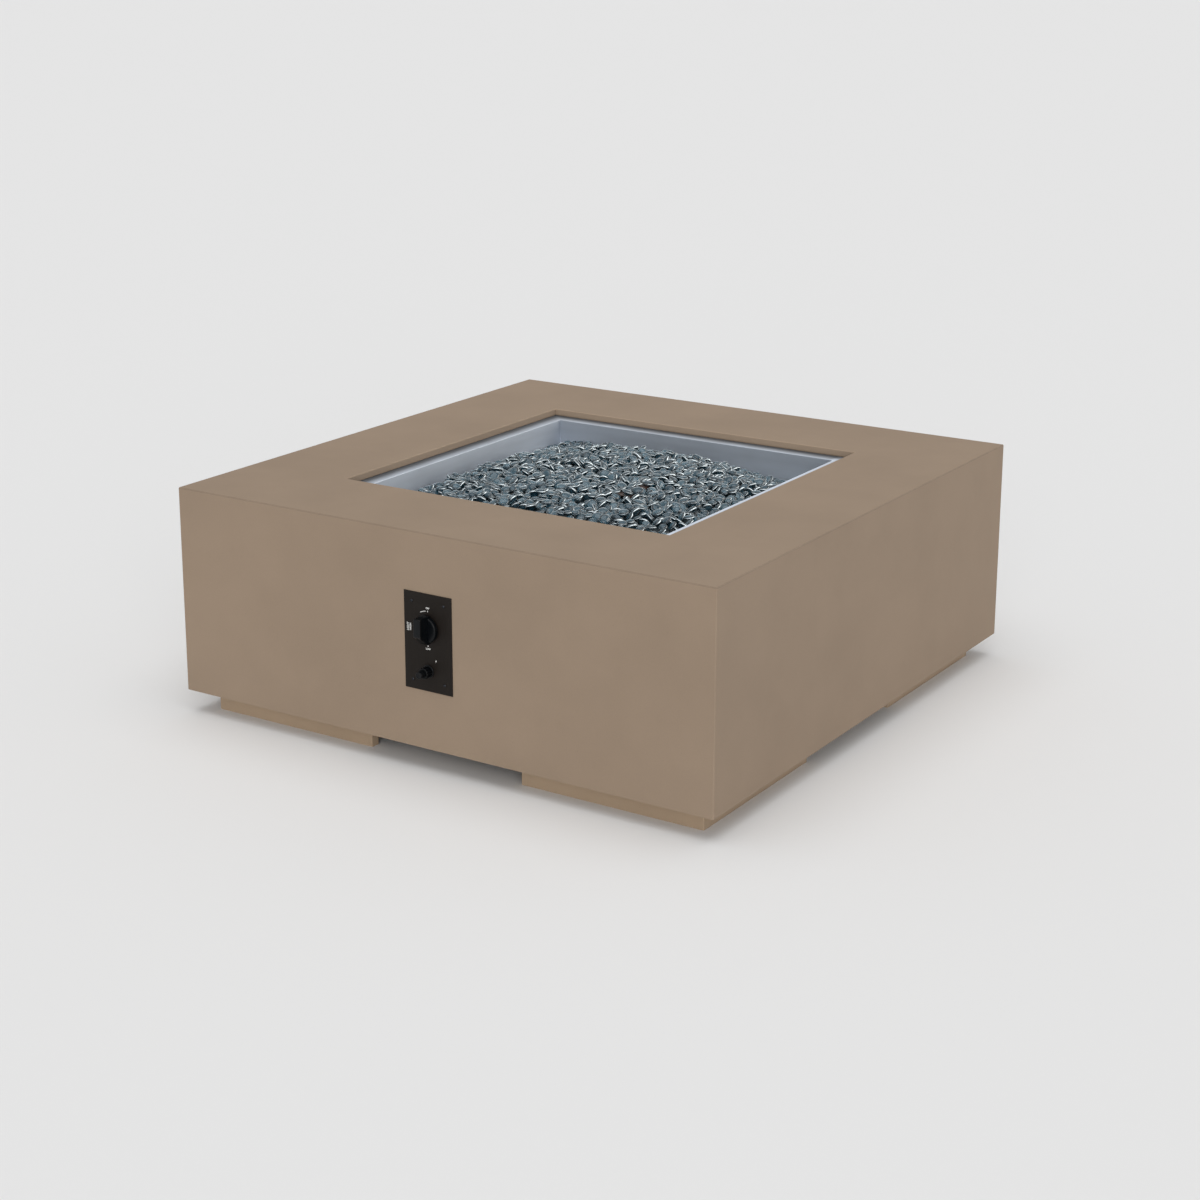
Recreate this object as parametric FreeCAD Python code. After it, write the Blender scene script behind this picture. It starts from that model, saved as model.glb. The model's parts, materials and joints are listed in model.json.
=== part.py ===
import FreeCAD, Part
import math
import os
from FreeCAD import Vector

# Square gas fire pit table, in millimetres. The origin is on the floor, at the middle of the footprint.
# +Z is up, the control panel faces -Y and +X is to the right of someone who faces the panel.

# Cast shell
body_width = 1473.0
body_height = 508.0
side_wall = 22.0
lip = 15.0
opening = 907.0
return_width = 74.0
return_height = 25.0
shell_ease = 3.0

# Corner feet
foot_height = 56.0
foot_inset = 54.0
foot_leg = 471.0
foot_wall = 25.0
foot_ease = 2.0
foot_bolt_end = 40.0
foot_bolt_cover = 21.0
insert_spare = 4.0

# Burner pan, its gasket and its sheet
sheet = 2.0
flange_show = 40.5
flange_tuck = 30.0
pan_depth = 125.0
pan_bend = 1.6
gasket = 3.0
gasket_width = 22.0
gasket_back = 3.0
drain_radius = 4.0
drain_inset = 60.0

# Frame that carries the pan
tube = 40.0
tube_wall = 2.5
plate = 5.0
bearer_gap = 5.0
base_plate_length = 90.0
plate_margin = 4.5
plate_bolt_inset = 15.0
top_plate_reach = 50.0
cleat_reach = 45.0
base_bolt_cover = 10.0
frame_bolt_length = 14.0

# Burner: the gaps are from the pan wall to the middle of a leg, and to the end of a leg
burner_radius = 12.5
spine_radius = 11.0
burner_wall = 1.5
burner_rise = 24.0
burner_side_gap = 133.0
burner_end_gap = 123.0
port_radius = 1.5
port_pitch = 25.0
burner_foot_inset = 90.0
burner_foot_width = 44.0
burner_foot_sheet = 3.0
burner_foot_tab = 20.0

# Burner inlet, in the order of the gas path from the hub down
hub_radius = 18.0
hub_cap = 4.0
nipple_radius = 10.65
nipple_bore = 8.0
nipple_engage = 16.0
locknut_across = 32.0
locknut_height = 8.0
mixer_gap = 6.0
mixer_radius = 15.0
mixer_length = 95.0
mixer_slot_width = 12.0
mixer_slot_height = 24.0
mixer_slot_rise = 12.0
spigot_radius = 6.0
spigot_length = 12.0

# Pipe fittings and hoses
elbow_side = 20.0
elbow_gap = 3.0
flare_radius = 7.94
flare_length = 14.0
flare_bore = 4.0
hose_nut_across = 19.0
hose_nut_length = 22.0
nut_cover = 12.0
hose_radius = 7.0

# Igniter hood, spark electrode and flame sensor
hood_x = 112.0
hood_back = -18.0
hood_length = 112.0
hood_width = 44.0
hood_sheet = 1.5
hood_drop = 30.0
hood_tab = 14.0
hood_slot_width = 8.0
hood_slot_height = 36.0
hood_slots = 4
sensor_spread = 10.0
sensor_y = -36.0
ceramic_radius = 3.5
ceramic_above = 34.0
ceramic_below = 12.0
collar_radius = 5.5
collar_height = 4.0
rod_radius = 1.2
rod_gap = 5.0
rod_tail = 6.0
probe_radius = 2.4
probe_above = 46.0
probe_below = 10.0

# Fire glass: each level of the heap has its drop below the table top, then its inset from the pan wall
# and its cut corner, both as shares of the pan's half width
glass_levels = [(80.0, 0.0, 0.24), (53.0, 0.12, 0.36), (33.0, 0.27, 0.36), (27.0, 0.61, 0.19)]
glass_corner = 0.005
glass_gap = 0.4
mound_pitch = 83.0
mound_radius = 34.0
mound_height = 8.0
mound_start = 30.0

# Control panel in the front face, with its screws measured in from its edges
panel_width = 131.0
panel_height = 229.0
panel_sheet = 2.0
panel_rise = 140.0
panel_screw_side = 21.5
panel_screw_end = 22.0
knob_drop = 81.0
igniter_up = 48.0
panel_insert_radius = 4.0
insert_cover = 8.0
screw_short = 2.0
head_taper = 1.0
window_margin = 4.0

# Knob and valve
knob_push = 3.0
knob_clear = 1.0
knob_radius = 31.0
knob_taper = 1.5
knob_hub_height = 10.0
knob_height = 38.0
knob_ease = 1.5
grip_half = 33.0
grip_width = 21.0
grip_tip_up = 32.0
grip_tip_down = 10.0
grip_tip_width = 19.5
stem_radius = 3.0
stem_flat = 0.75
stem_in_knob = 18.0
stem_in_plunger = 7.0
plunger_radius = 5.0
plunger_length = 13.0
valve_neck_radius = 8.0
valve_neck_gap = 3.0
valve_neck_wall = 6.0
valve_width = 44.0
valve_up = 26.0
valve_down = 24.0
valve_depth = 44.0
valve_screw_side = 6.0
valve_screw_reach = 8.0
outlet_up = 8.0
sensor_port_down = 14.0
sensor_port_depth = 8.0
sensor_thread_radius = 4.0
sensor_nut_across = 9.0
sensor_nut_length = 12.0
bracket_depth = 15.0
bracket_sheet = 2.0
bracket_room = 6.0
bracket_tab = 12.0

# Push-button igniter
battery_radius = 7.25
battery_length = 50.0
battery_nub = 1.5
battery_nub_radius = 2.4
igniter_wall = 3.75
bezel_lip = 4.0
bezel_height = 3.0
cap_wall = 2.0
cap_height = 19.0
cap_flutes = 12
flute_radius = 1.6
igniter_nut_wall = 2.5
igniter_nut_height = 5.0
button_wall = 2.5
button_depth = 10.0
button_push = 4.0
button_stand = 12.0
button_ease = 1.0
igniter_end_wall = 3.0
terminal_wall = 1.0
terminal_length = 5.0

# Coil springs of the valve and the igniter, drawn as tubes: length when shut, step from their bore and wire
spring_shut = 6.0
spring_step = 1.0
spring_wire = 1.0

# Cover behind the panel
cover_width = 150.0
cover_room = 52.0
cover_sheet = 1.5
cover_past = 10.0
cover_tab = 16.0
cover_screw_inset = 30.0
hose_window_half = 24.0
hose_window_height = 30.0

# Gas inlet under the control panel: it hangs in a plate on the bottom return, this far inside the return
inlet_in = 24.0
inlet_end = 14.5
inlet_plate = 4.0
inlet_width = 46.0
inlet_bolt_x = 12.0
union_across = 22.0
union_height = 8.0
supply_fall = 77.0
supply_rise = 63.0

# Routes of the hoses and leads: shares of the runs that they lie on, and how far the arcs reach
bend_share = 0.45
rod_bend_share = 0.2
hose_knee_share = 0.22
hose_foot_share = 0.48
clip_shares = (0.25, 0.4)
lead_share = 0.54
sensor_lead_radius = 1.3
spark_lead_radius = 2.0
sensor_lead_x = 10.2
spark_lead_x = 14.8
lead_straight = 12.0
clip_length = 8.0
clip_wall = 2.0

# Steps of the leads inside the cover: before the window and up from where they start
sensor_lead_step = (20.0, 8.0)
spark_lead_step = (26.0, 24.0)

# Last points of the leads, from the lower end of the piece that they serve: share of X, then steps in Y and Z
sensor_lead_end = [(0.5, -92.0, -70.0), (1.0, -14.0, -50.0), (1.0, 0.0, -25.0), (1.0, 0.0, 0.0)]
spark_lead_end = [(0.5, -98.0, -60.0), (1.0, -14.0, -42.0), (1.0, 0.0, -20.0), (1.0, 0.0, 0.0)]

# Screw sizes: shank radius, width across the head, head height, washer radius and thickness
m10 = (5.0, 16.0, 6.4, 10.0, 2.0)
m8 = (4.0, 13.0, 5.3, 8.0, 1.6)
m4 = (2.0, 7.0, 2.8, 0.0, 0.0)
pan_screw_tail = 4.0

# Clearances, and how far a cut reaches past a face
running = 0.05
loose = 0.25
seat = 0.3
stem_clear = 1.0
short = 1.0
past = 1.0

# Levels and half widths that the pieces share
half_width = body_width / 2
inner_half = half_width - side_wall
base_half = inner_half - return_width
mouth_half = opening / 2
body_base = foot_height
top = body_base + body_height
slab_under = top - lip
return_top = body_base + return_height
flange_top = slab_under - gasket
flange_under = flange_top - sheet
pan_half = mouth_half - flange_show
pan_outer = pan_half + sheet
floor_top = flange_top - pan_depth
floor_under = floor_top - sheet
bearer_base = flange_under - tube
bearer_y = pan_outer + bearer_gap + tube / 2
base_plate_width = return_width - 2 * plate_margin
post_x = inner_half - return_width / 2
spine_half = pan_half - burner_side_gap
leg_half = pan_half - burner_end_gap
burner_z = floor_top + burner_rise
foot_outer = half_width - foot_inset
foot_mid = foot_outer - foot_wall / 2
foot_bolt_length = return_height + foot_height - foot_bolt_cover
locknut_under = floor_under - locknut_height
mixer_top = locknut_under - mixer_gap
mixer_under = mixer_top - mixer_length
feed_z = mixer_under - elbow_side / 2
foot_near = foot_outer - foot_leg
inlet_y = inlet_in - base_half
quarters = {"front_left": (-1, -1), "front_right": (1, -1), "back_left": (-1, 1), "back_right": (1, 1)}

# Levels, radii and depths of what stands behind the panel
panel_base = body_base + panel_rise
panel_mid = panel_base + panel_height / 2
panel_face = -half_width - panel_sheet
panel_insert_length = side_wall - insert_cover
knob_z = panel_base + panel_height - knob_drop
igniter_z = panel_base + igniter_up
knob_base = panel_face - knob_push - knob_clear
bracket_face = bracket_depth - half_width
valve_face = bracket_face + bracket_sheet
valve_back = valve_face + valve_depth
valve_neck_length = bracket_depth + bracket_sheet - valve_neck_gap
bracket_half = valve_up + bracket_room
bracket_screw_x = valve_width / 2 - valve_screw_side
plunger_front = valve_face - valve_neck_length + valve_neck_wall
valve_spring_length = knob_push + spring_shut
outlet_z = knob_z + outlet_up
sensor_port_z = knob_z - sensor_port_down
igniter_radius = battery_radius + igniter_wall
bezel_radius = igniter_radius + bezel_lip
igniter_nut_radius = igniter_radius + igniter_nut_wall
button_radius = igniter_radius - button_wall
igniter_front = panel_face - bezel_height - cap_height
button_back = igniter_front + button_depth
igniter_spring_length = button_push + spring_shut
battery_front = button_back + igniter_spring_length
igniter_back = battery_front + battery_length + battery_nub + seat + igniter_end_wall
window_half = panel_width / 2 - panel_screw_side - panel_insert_radius - window_margin
window_low = igniter_z - igniter_nut_radius - window_margin
window_high = knob_z + bracket_half + bracket_tab + window_margin
cover_face = max(valve_back + flare_length, igniter_back + terminal_length) + cover_room
cover_low = panel_base - cover_past
cover_high = panel_base + panel_height + cover_past
valve_mid = (valve_face + valve_back) / 2
elbow_x = -valve_width / 2 - elbow_gap - elbow_side / 2
rod_tip_z = floor_top + ceramic_above + rod_gap
hood_front = hood_back - hood_length
glass_half = pan_half - glass_gap


# Small shapes

def block(x0, x1, y0, y1, z0, z1):
    return Part.makeBox(x1 - x0, y1 - y0, z1 - z0, Vector(x0, y0, z0))


def square(half, z0, z1):
    return block(-half, half, -half, half, z0, z1)


def corner_block(side, x0, x1, y0, y1, z0, z1):
    xs = sorted((side[0] * x0, side[0] * x1))
    ys = sorted((side[1] * y0, side[1] * y1))
    return block(xs[0], xs[1], ys[0], ys[1], z0, z1)


def moved(start, direction, length):
    return tuple(s + d * length for s, d in zip(start, direction))


def rod(radius, start, direction, length):
    return Part.makeCylinder(radius, length, Vector(*start), Vector(*direction))


def hole(radius, start, direction, depth):
    # A cut of this depth from the face at its start.
    return rod(radius, moved(start, direction, -past), direction, depth + past)


def bore(radius, start, direction, depth):
    # A cut right through, from the face at its start to the face at this depth.
    return hole(radius, start, direction, depth + past)


def pipe(radius, inner, start, direction, length):
    return rod(radius, start, direction, length).cut(bore(inner, start, direction, length))


def hexagon(across, start, direction, height):
    corner = across / math.sqrt(3)
    turns = [math.radians(60 * i) for i in range(7)]
    points = [Vector(corner * math.cos(turn), corner * math.sin(turn), 0) for turn in turns]
    prism = Part.Face(Part.makePolygon(points)).extrude(Vector(0, 0, height))
    prism.Placement = FreeCAD.Placement(Vector(*start), FreeCAD.Rotation(Vector(0, 0, 1), Vector(*direction)))
    return prism


def nut(across, inner, start, direction, height):
    return hexagon(across, start, direction, height).cut(bore(inner, start, direction, height))


def bolt(size, seat_point, into, length):
    # A hex bolt whose shank goes from the seat in the direction "into", over a washer where it has one.
    shank_radius, across, head, washer_radius, washer = size
    back = tuple(-d for d in into)
    under_head = moved(seat_point, back, washer)
    shank = rod(shank_radius, under_head, into, length + washer)
    solids = [shank.fuse(hexagon(across, under_head, back, head))]
    if washer:
        solids.append(pipe(washer_radius, shank_radius + loose, seat_point, back, washer))
    return solids


def group(solids):
    return Part.makeCompound(solids)


def eased(shape, radius, wanted):
    return shape.makeFillet(radius, [edge for edge in shape.Edges if wanted(edge.BoundBox)])


def reach(box):
    return max(abs(box.XMin), abs(box.XMax), abs(box.YMin), abs(box.YMax))


def rim_of(half, level):
    # Picks the four straight edges of a square opening of this half width at this level.
    def wanted(box):
        return box.ZMin > level - loose and abs(reach(box) - half) < loose and box.DiagonalLength > half
    return wanted


def route(points, share):
    # Straight runs joined by tangent arcs: each arc takes this share of the shorter run beside it.
    points = [Vector(*point) for point in points]
    edges = []
    start = points[0]
    for before, corner, after in zip(points, points[1:], points[2:]):
        back, ahead = before - corner, after - corner
        length = share * min(back.Length, ahead.Length)
        back.normalize()
        ahead.normalize()
        half_turn = (math.pi - back.getAngle(ahead)) / 2
        radius = length / math.tan(half_turn)
        middle = (back + ahead).normalize() * (radius / math.cos(half_turn) - radius)
        enter, leave = corner + back * length, corner + ahead * length
        edges.append(Part.LineSegment(start, enter).toShape())
        edges.append(Part.Arc(enter, corner + middle, leave).toShape())
        start = leave
    edges.append(Part.LineSegment(start, points[-1]).toShape())
    return Part.Wire(edges)


def swept(radius, points, share=bend_share):
    first = (Vector(*points[1]) - Vector(*points[0])).normalize()
    ring = Part.Wire(Part.makeCircle(radius, Vector(*points[0]), first))
    return route(points, share).makePipeShell([ring], True, False)


# Where the fasteners go

def foot_bolt_points(side):
    end = foot_near + foot_bolt_end
    spots = [(foot_mid, foot_mid), (end, foot_mid), (foot_mid, end)]
    return [(side[0] * x, side[1] * y) for x, y in spots]


def post_bolt_points(side):
    step = base_plate_length / 2 - plate_bolt_inset
    return [(side[0] * post_x, side[1] * (bearer_y + offset)) for offset in (-step, step)]


def head_bolt_point(side):
    return (side[0] * (post_x - tube / 2 - top_plate_reach / 2), side[1] * bearer_y, bearer_base)


def cleat_bolt_point(side):
    x = bearer_y + tube / 2 + cleat_reach / 2
    return (side[0] * x, side[1] * (bearer_y - tube / 2), bearer_base + tube / 2)


def inlet_bolt_points():
    return [(elbow_x + side * inlet_bolt_x, return_width / 2 - inner_half) for side in (-1, 1)]


def panel_screw_points():
    x = panel_width / 2 - panel_screw_side
    z = panel_height / 2 - panel_screw_end
    return [(side * x, panel_mid + level * z) for side in (-1, 1) for level in (-1, 1)]


def valve_screw_points():
    return [(side * bracket_screw_x, knob_z) for side in (-1, 1)]


def cover_screw_points():
    x = cover_width / 2 + cover_tab / 2
    levels = (cover_low + cover_screw_inset, cover_high - cover_screw_inset)
    return [(side * x, z) for side in (-1, 1) for z in levels]


def burner_foot_spots():
    offset = leg_half - burner_foot_inset
    return [(x, y) for x in (-spine_half, spine_half) for y in (-offset, offset)]


def burner_screw_points():
    x_step = burner_foot_width / 4
    y_step = (burner_foot_sheet + burner_foot_tab) / 2
    return [(x + side * x_step, y + y_step) for x, y in burner_foot_spots() for side in (-1, 1)]


def hood_screw_points():
    x_step = hood_width / 2 + hood_tab / 2
    ends = (hood_front + hood_tab / 2, hood_back - hood_tab / 2)
    return [(hood_x + side * x_step, y) for side in (-1, 1) for y in ends]


def sensor_spots():
    return (hood_x - sensor_spread, sensor_y), (hood_x + sensor_spread, sensor_y)


# Concrete

def shell():
    body = square(half_width, body_base, top)
    body = eased(body, shell_ease, lambda box: box.ZMax > body_base + past)
    mouth = square(mouth_half, slab_under - past, top + past)
    cavity = square(inner_half, return_top, slab_under)
    base_mouth = square(base_half, body_base - past, return_top + past)
    body = eased(body.cut([cavity, base_mouth, mouth]), shell_ease, rim_of(mouth_half, top))
    bolt_depth = return_height - base_bolt_cover + short
    cuts = [block(-window_half, window_half, -half_width - past, past - inner_half, window_low, window_high)]
    for x, z in panel_screw_points():
        cuts.append(hole(panel_insert_radius + running, (x, -half_width, z), (0, 1, 0), panel_insert_length))
    for x, z in cover_screw_points():
        cuts.append(hole(m4[0] + running, (x, -inner_half, z), (0, -1, 0), side_wall / 2))
    for side in quarters.values():
        for x, y in foot_bolt_points(side):
            cuts.append(bore(m10[0] + loose, (x, y, body_base), (0, 0, 1), return_height))
        for x, y in post_bolt_points(side):
            cuts.append(hole(m8[0] + running, (x, y, return_top), (0, 0, -1), bolt_depth))
    for x, y in inlet_bolt_points():
        cuts.append(hole(m8[0] + running, (x, y, return_top), (0, 0, -1), bolt_depth))
    return body.cut(cuts)


def foot(side):
    inner = foot_outer - foot_wall
    along_x = corner_block(side, foot_near, foot_outer, inner, foot_outer, 0, foot_height)
    along_y = corner_block(side, inner, foot_outer, foot_near, foot_outer, 0, foot_height)
    plinth = along_x.fuse(along_y).removeSplitter()
    plinth = eased(plinth, foot_ease, lambda box: box.ZLength > foot_height - past)
    depth = foot_bolt_length - return_height + insert_spare
    return plinth.cut([hole(m10[0] + running, (x, y, foot_height), (0, 0, -1), depth)
                       for x, y in foot_bolt_points(side)])


def foot_bolts():
    solids = []
    for side in quarters.values():
        for x, y in foot_bolt_points(side):
            solids += bolt(m10, (x, y, return_top), (0, 0, -1), foot_bolt_length)
    return group(solids)


def base_bolts():
    # The bolts into the bottom return: two for each post and two for the inlet bracket.
    in_return = return_height - base_bolt_cover
    solids = []
    for side in quarters.values():
        for x, y in post_bolt_points(side):
            solids += bolt(m8, (x, y, return_top + plate), (0, 0, -1), plate + in_return)
    for x, y in inlet_bolt_points():
        solids += bolt(m8, (x, y, return_top + inlet_plate), (0, 0, -1), inlet_plate + in_return)
    return group(solids)


# Frame under the pan

def post(side):
    x, y = side[0] * post_x, side[1] * bearer_y
    out, inner = tube / 2, tube / 2 - tube_wall
    width, length = base_plate_width / 2, base_plate_length / 2
    foot_plate = block(x - width, x + width, y - length, y + length, return_top, return_top + plate)
    head_low = bearer_base - plate
    head = corner_block(side, post_x - out - top_plate_reach, post_x + out, bearer_y - out, bearer_y + out,
                        head_low, bearer_base)
    shaft = block(x - out, x + out, y - out, y + out, return_top + plate, head_low)
    shaft = shaft.cut(block(x - inner, x + inner, y - inner, y + inner, return_top, bearer_base))
    holes = [bore(m8[0] + loose, (x, y, return_top), (0, 0, 1), plate) for x, y in post_bolt_points(side)]
    holes.append(bore(m8[0] + loose, head_bolt_point(side), (0, 0, -1), plate))
    return foot_plate.fuse([head, shaft]).cut(holes)


def bearer(face):
    y = face * bearer_y
    end = post_x + tube / 2
    mid = bearer_base + tube / 2
    inner = tube / 2 - tube_wall
    beam = block(-end, end, y - tube / 2, y + tube / 2, bearer_base, bearer_base + tube)
    beam = beam.cut(block(-end - past, end + past, y - inner, y + inner, mid - inner, mid + inner))
    holes = []
    for side in (-1, 1):
        holes.append(bore(m8[0] + running, head_bolt_point((side, face)), (0, 0, 1), tube_wall))
        holes.append(bore(m8[0] + running, cleat_bolt_point((side, face)), (0, face, 0), tube_wall))
    return beam.cut(holes)


def crossbar(face):
    end = bearer_y - tube / 2
    x = face * bearer_y
    mid = bearer_base + tube / 2
    inner = tube / 2 - tube_wall
    bar = block(x - tube / 2, x + tube / 2, plate - end, end - plate, bearer_base, bearer_base + tube)
    bar = bar.cut(block(x - inner, x + inner, -end, end, mid - inner, mid + inner))
    inside, outside = bearer_y - tube / 2, bearer_y + tube / 2 + cleat_reach
    cleats = [corner_block((face, side), inside, outside, end - plate, end, bearer_base, bearer_base + tube)
              for side in (-1, 1)]
    holes = [bore(m8[0] + loose, cleat_bolt_point((face, side)), (0, -side, 0), plate) for side in (-1, 1)]
    return bar.fuse(cleats).cut(holes)


def frame_bolts():
    solids = []
    for side in quarters.values():
        under = moved(head_bolt_point(side), (0, 0, -1), plate)
        inside = moved(cleat_bolt_point(side), (0, -side[1], 0), plate)
        solids += bolt(m8, under, (0, 0, 1), frame_bolt_length)
        solids += bolt(m8, inside, (0, side[1], 0), frame_bolt_length)
    return group(solids)


# Pan and glass

def pan_gasket():
    inner = mouth_half + gasket_back
    ring = square(inner + gasket_width, flange_top, slab_under)
    return ring.cut(square(inner, flange_top - past, slab_under + past))


def burner_pan():
    flange = square(mouth_half + flange_tuck, flange_under, flange_top)
    tray = flange.fuse(square(pan_outer, floor_under, flange_top)).removeSplitter()
    tray = tray.cut(square(pan_half, floor_top, flange_top + past))
    tray = eased(tray, pan_bend, rim_of(pan_half, flange_top))
    probe_spot, spark_spot = sensor_spots()
    up = (0, 0, 1)
    holes = [bore(nipple_radius + loose, (0, 0, floor_under), up, sheet),
             bore(probe_radius + running, (*probe_spot, floor_under), up, sheet),
             bore(ceramic_radius + running, (*spark_spot, floor_under), up, sheet)]
    for x, y in burner_screw_points() + hood_screw_points():
        holes.append(bore(m4[0] + running, (x, y, floor_under), up, sheet))
    corner = pan_half - drain_inset
    for side in quarters.values():
        holes.append(bore(drain_radius, (side[0] * corner, side[1] * corner, floor_under), up, sheet))
    return tray.cut(holes)


def octagon(half, corner, z):
    near = half - corner
    points = [(half, -near), (half, near), (near, half), (-near, half), (-half, near), (-half, -near),
              (-near, -half), (near, -half), (half, -near)]
    return Part.makePolygon([Vector(x, y, z) for x, y in points])


def heap_rings():
    # Half width, cut corner and height of each level of the heap, from the wall up.
    return [(glass_half - inset * pan_half, corner * pan_half, top - drop)
            for drop, inset, corner in glass_levels]


def heap_at(x, y):
    # Height and slope of the plain heap over a spot: a side or a cut corner passes through it.
    rings = heap_rings()
    for (half, corner, low), (next_half, next_corner, high) in zip(rings, rings[1:]):
        side_run = half - next_half
        corner_run = 2 * side_run - corner + next_corner
        side = (half - max(abs(x), abs(y))) / side_run
        cut = (2 * half - corner - abs(x) - abs(y)) / corner_run
        if min(side, cut) < 1:
            run = side_run if side < cut else corner_run / math.sqrt(2)
            return low + min(side, cut) * (high - low), (high - low) / run
    return high, 0.0


def glass_mounds():
    # Low domes in staggered rows, each the upper part of a ball sunk in the heap.
    ball = (mound_radius ** 2 + mound_height ** 2) / (2 * mound_height)
    row_step = mound_pitch * math.sqrt(3) / 2
    limit = glass_half - ball * math.cos(math.radians(mound_start))
    rows = int(limit / row_step)
    domes = []
    for row in range(-rows, rows + 1):
        shift = mound_pitch / 2 * (row % 2)
        last = int((limit - shift) / mound_pitch)
        first = -int((limit + shift) / mound_pitch)
        for column in range(first, last + 1):
            x, y = column * mound_pitch + shift, row * row_step
            z, slope = heap_at(x, y)
            depth = (ball - mound_height) * math.sqrt(1 + slope ** 2)
            domes.append(Part.makeSphere(ball, Vector(x, y, z - depth), Vector(0, 0, 1), mound_start, 90))
    return domes


def fire_glass():
    skirt = (floor_top + top - glass_levels[0][0]) / 2
    rings = [octagon(glass_half, glass_corner * pan_half, z) for z in (floor_top, skirt)]
    rings += [octagon(*ring) for ring in heap_rings()]
    bed = Part.makeLoft(rings, True, True).fuse(glass_mounds())
    low = floor_top - past
    clear = burner_z + burner_radius + glass_gap
    foot_half = burner_foot_width / 2 + glass_gap
    leg_end = leg_half + glass_gap
    spine_side = hub_radius + glass_gap
    trenches = [block(-spine_half, spine_half, -spine_side, spine_side, low, clear)]
    for x in (-spine_half, spine_half):
        trenches.append(block(x - foot_half, x + foot_half, -leg_end, leg_end, low, clear))
    tab_half = hood_width / 2 + hood_tab + glass_gap
    side_half = hood_width / 2 + glass_gap
    start, end = hood_front - glass_gap, hood_back + glass_gap
    screw_top = floor_top + hood_sheet + m4[2] + glass_gap
    trenches.append(block(hood_x - tab_half, hood_x + tab_half, start, end, low, screw_top))
    trenches.append(block(hood_x - side_half, hood_x + side_half, start, end, low, top))
    rod_clear = rod_tip_z + rod_radius + glass_gap
    trenches.append(block(hood_x - side_half, hood_x + side_half, hood_back, 0, low, rod_clear))
    return bed.cut(trenches)


# Burner

def burner_solid(inset):
    # The H of the burner, or its hollow this far in, drawn with the pan floor at zero height.
    half, radius = leg_half - inset, burner_radius - inset
    spine = rod(spine_radius - inset, (-spine_half, 0, burner_rise), (1, 0, 0), 2 * spine_half)
    legs = [rod(radius, (x, -half, burner_rise), (0, 1, 0), 2 * half) for x in (-spine_half, spine_half)]
    return spine.fuse(legs)


def burner_ports():
    ports = []
    count = int(2 * leg_half / port_pitch) - 1
    for i in range(count):
        along = (i - (count - 1) / 2) * port_pitch
        spots = [(-spine_half, along), (spine_half, along)]
        if abs(along) < spine_half - burner_radius:
            spots.append((along, 0))
        ports += [rod(port_radius, (x, y, burner_rise), (0, 0, 1), burner_radius + past) for x, y in spots]
    return ports


def burner():
    up = (0, 0, 1)
    pipes = burner_solid(0).fuse(rod(hub_radius, (0, 0, 0), up, burner_rise + hub_cap))
    pipes = pipes.cut(burner_solid(burner_wall))
    pipes = pipes.cut([rod(nipple_bore, (0, 0, 0), up, burner_rise + hub_cap / 2),
                       hole(nipple_radius + running, (0, 0, 0), up, nipple_engage)])
    pipes = pipes.cut(burner_ports())
    pipes.translate(Vector(0, 0, floor_top))
    return pipes


def burner_feet():
    half = burner_foot_width / 2
    screw_top = floor_top + burner_foot_sheet
    holes = [bore(m4[0] + loose, (x, y, floor_top), (0, 0, 1), burner_foot_sheet)
             for x, y in burner_screw_points()]
    solids = []
    for x, y in burner_foot_spots():
        saddle = block(x - half, x + half, y, y + burner_foot_sheet, floor_top, burner_z)
        tab = block(x - half, x + half, y, y + burner_foot_tab, floor_top, screw_top)
        seat_cut = bore(burner_radius + running, (x, y, burner_z), (0, 1, 0), burner_foot_tab)
        solids.append(saddle.fuse(tab).cut([seat_cut] + holes))
    return group(solids)


def pan_screws():
    # The screws through the pan floor: two for each burner foot and four for the igniter hood.
    solids = []
    for points, held in ((burner_screw_points(), burner_foot_sheet), (hood_screw_points(), hood_sheet)):
        for x, y in points:
            solids += bolt(m4, (x, y, floor_top + held), (0, 0, -1), held + sheet + pan_screw_tail)
    return group(solids)


def burner_nipple():
    end = mixer_top - nipple_engage
    return pipe(nipple_radius, nipple_bore, (0, 0, end), (0, 0, 1), floor_top + nipple_engage - end)


def nipple_locknut():
    return nut(locknut_across, nipple_radius + running, (0, 0, locknut_under), (0, 0, 1), locknut_height)


def air_mixer():
    up = (0, 0, 1)
    body = rod(mixer_radius, (0, 0, mixer_under), up, mixer_length)
    slot_low = mixer_under + spigot_length + mixer_slot_rise
    cuts = [hole(nipple_radius + running, (0, 0, mixer_top), (0, 0, -1), nipple_engage),
            rod(nipple_bore, (0, 0, mixer_under + spigot_length), up, mixer_length - spigot_length),
            bore(spigot_radius + running, (0, 0, mixer_under), up, spigot_length),
            block(-mixer_radius, mixer_radius, -mixer_slot_width / 2, mixer_slot_width / 2,
                  slot_low, slot_low + mixer_slot_height)]
    return body.cut(cuts)


def elbow(centre, spigot_way, spigot_out, flare_way):
    # A brass elbow: a square block with a plain spigot one way and a flare thread the other.
    half = elbow_side / 2
    x, y, z = centre
    body = block(x - half, x + half, y - half, y + half, z - half, z + half)
    spigot = rod(spigot_radius, centre, spigot_way, half + spigot_out)
    thread = rod(flare_radius, centre, flare_way, half + flare_length)
    corner = moved(centre, spigot_way, -flare_bore)
    bores = [rod(flare_bore, corner, spigot_way, flare_bore + half + spigot_out + past),
             rod(flare_bore, centre, flare_way, half + flare_length + past)]
    return body.fuse([spigot, thread]).cut(bores)


def orifice_elbow():
    return elbow((0, 0, feed_z), (0, 0, 1), spigot_length, (0, -1, 0))


# Hood, spark and flame sensor

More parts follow.
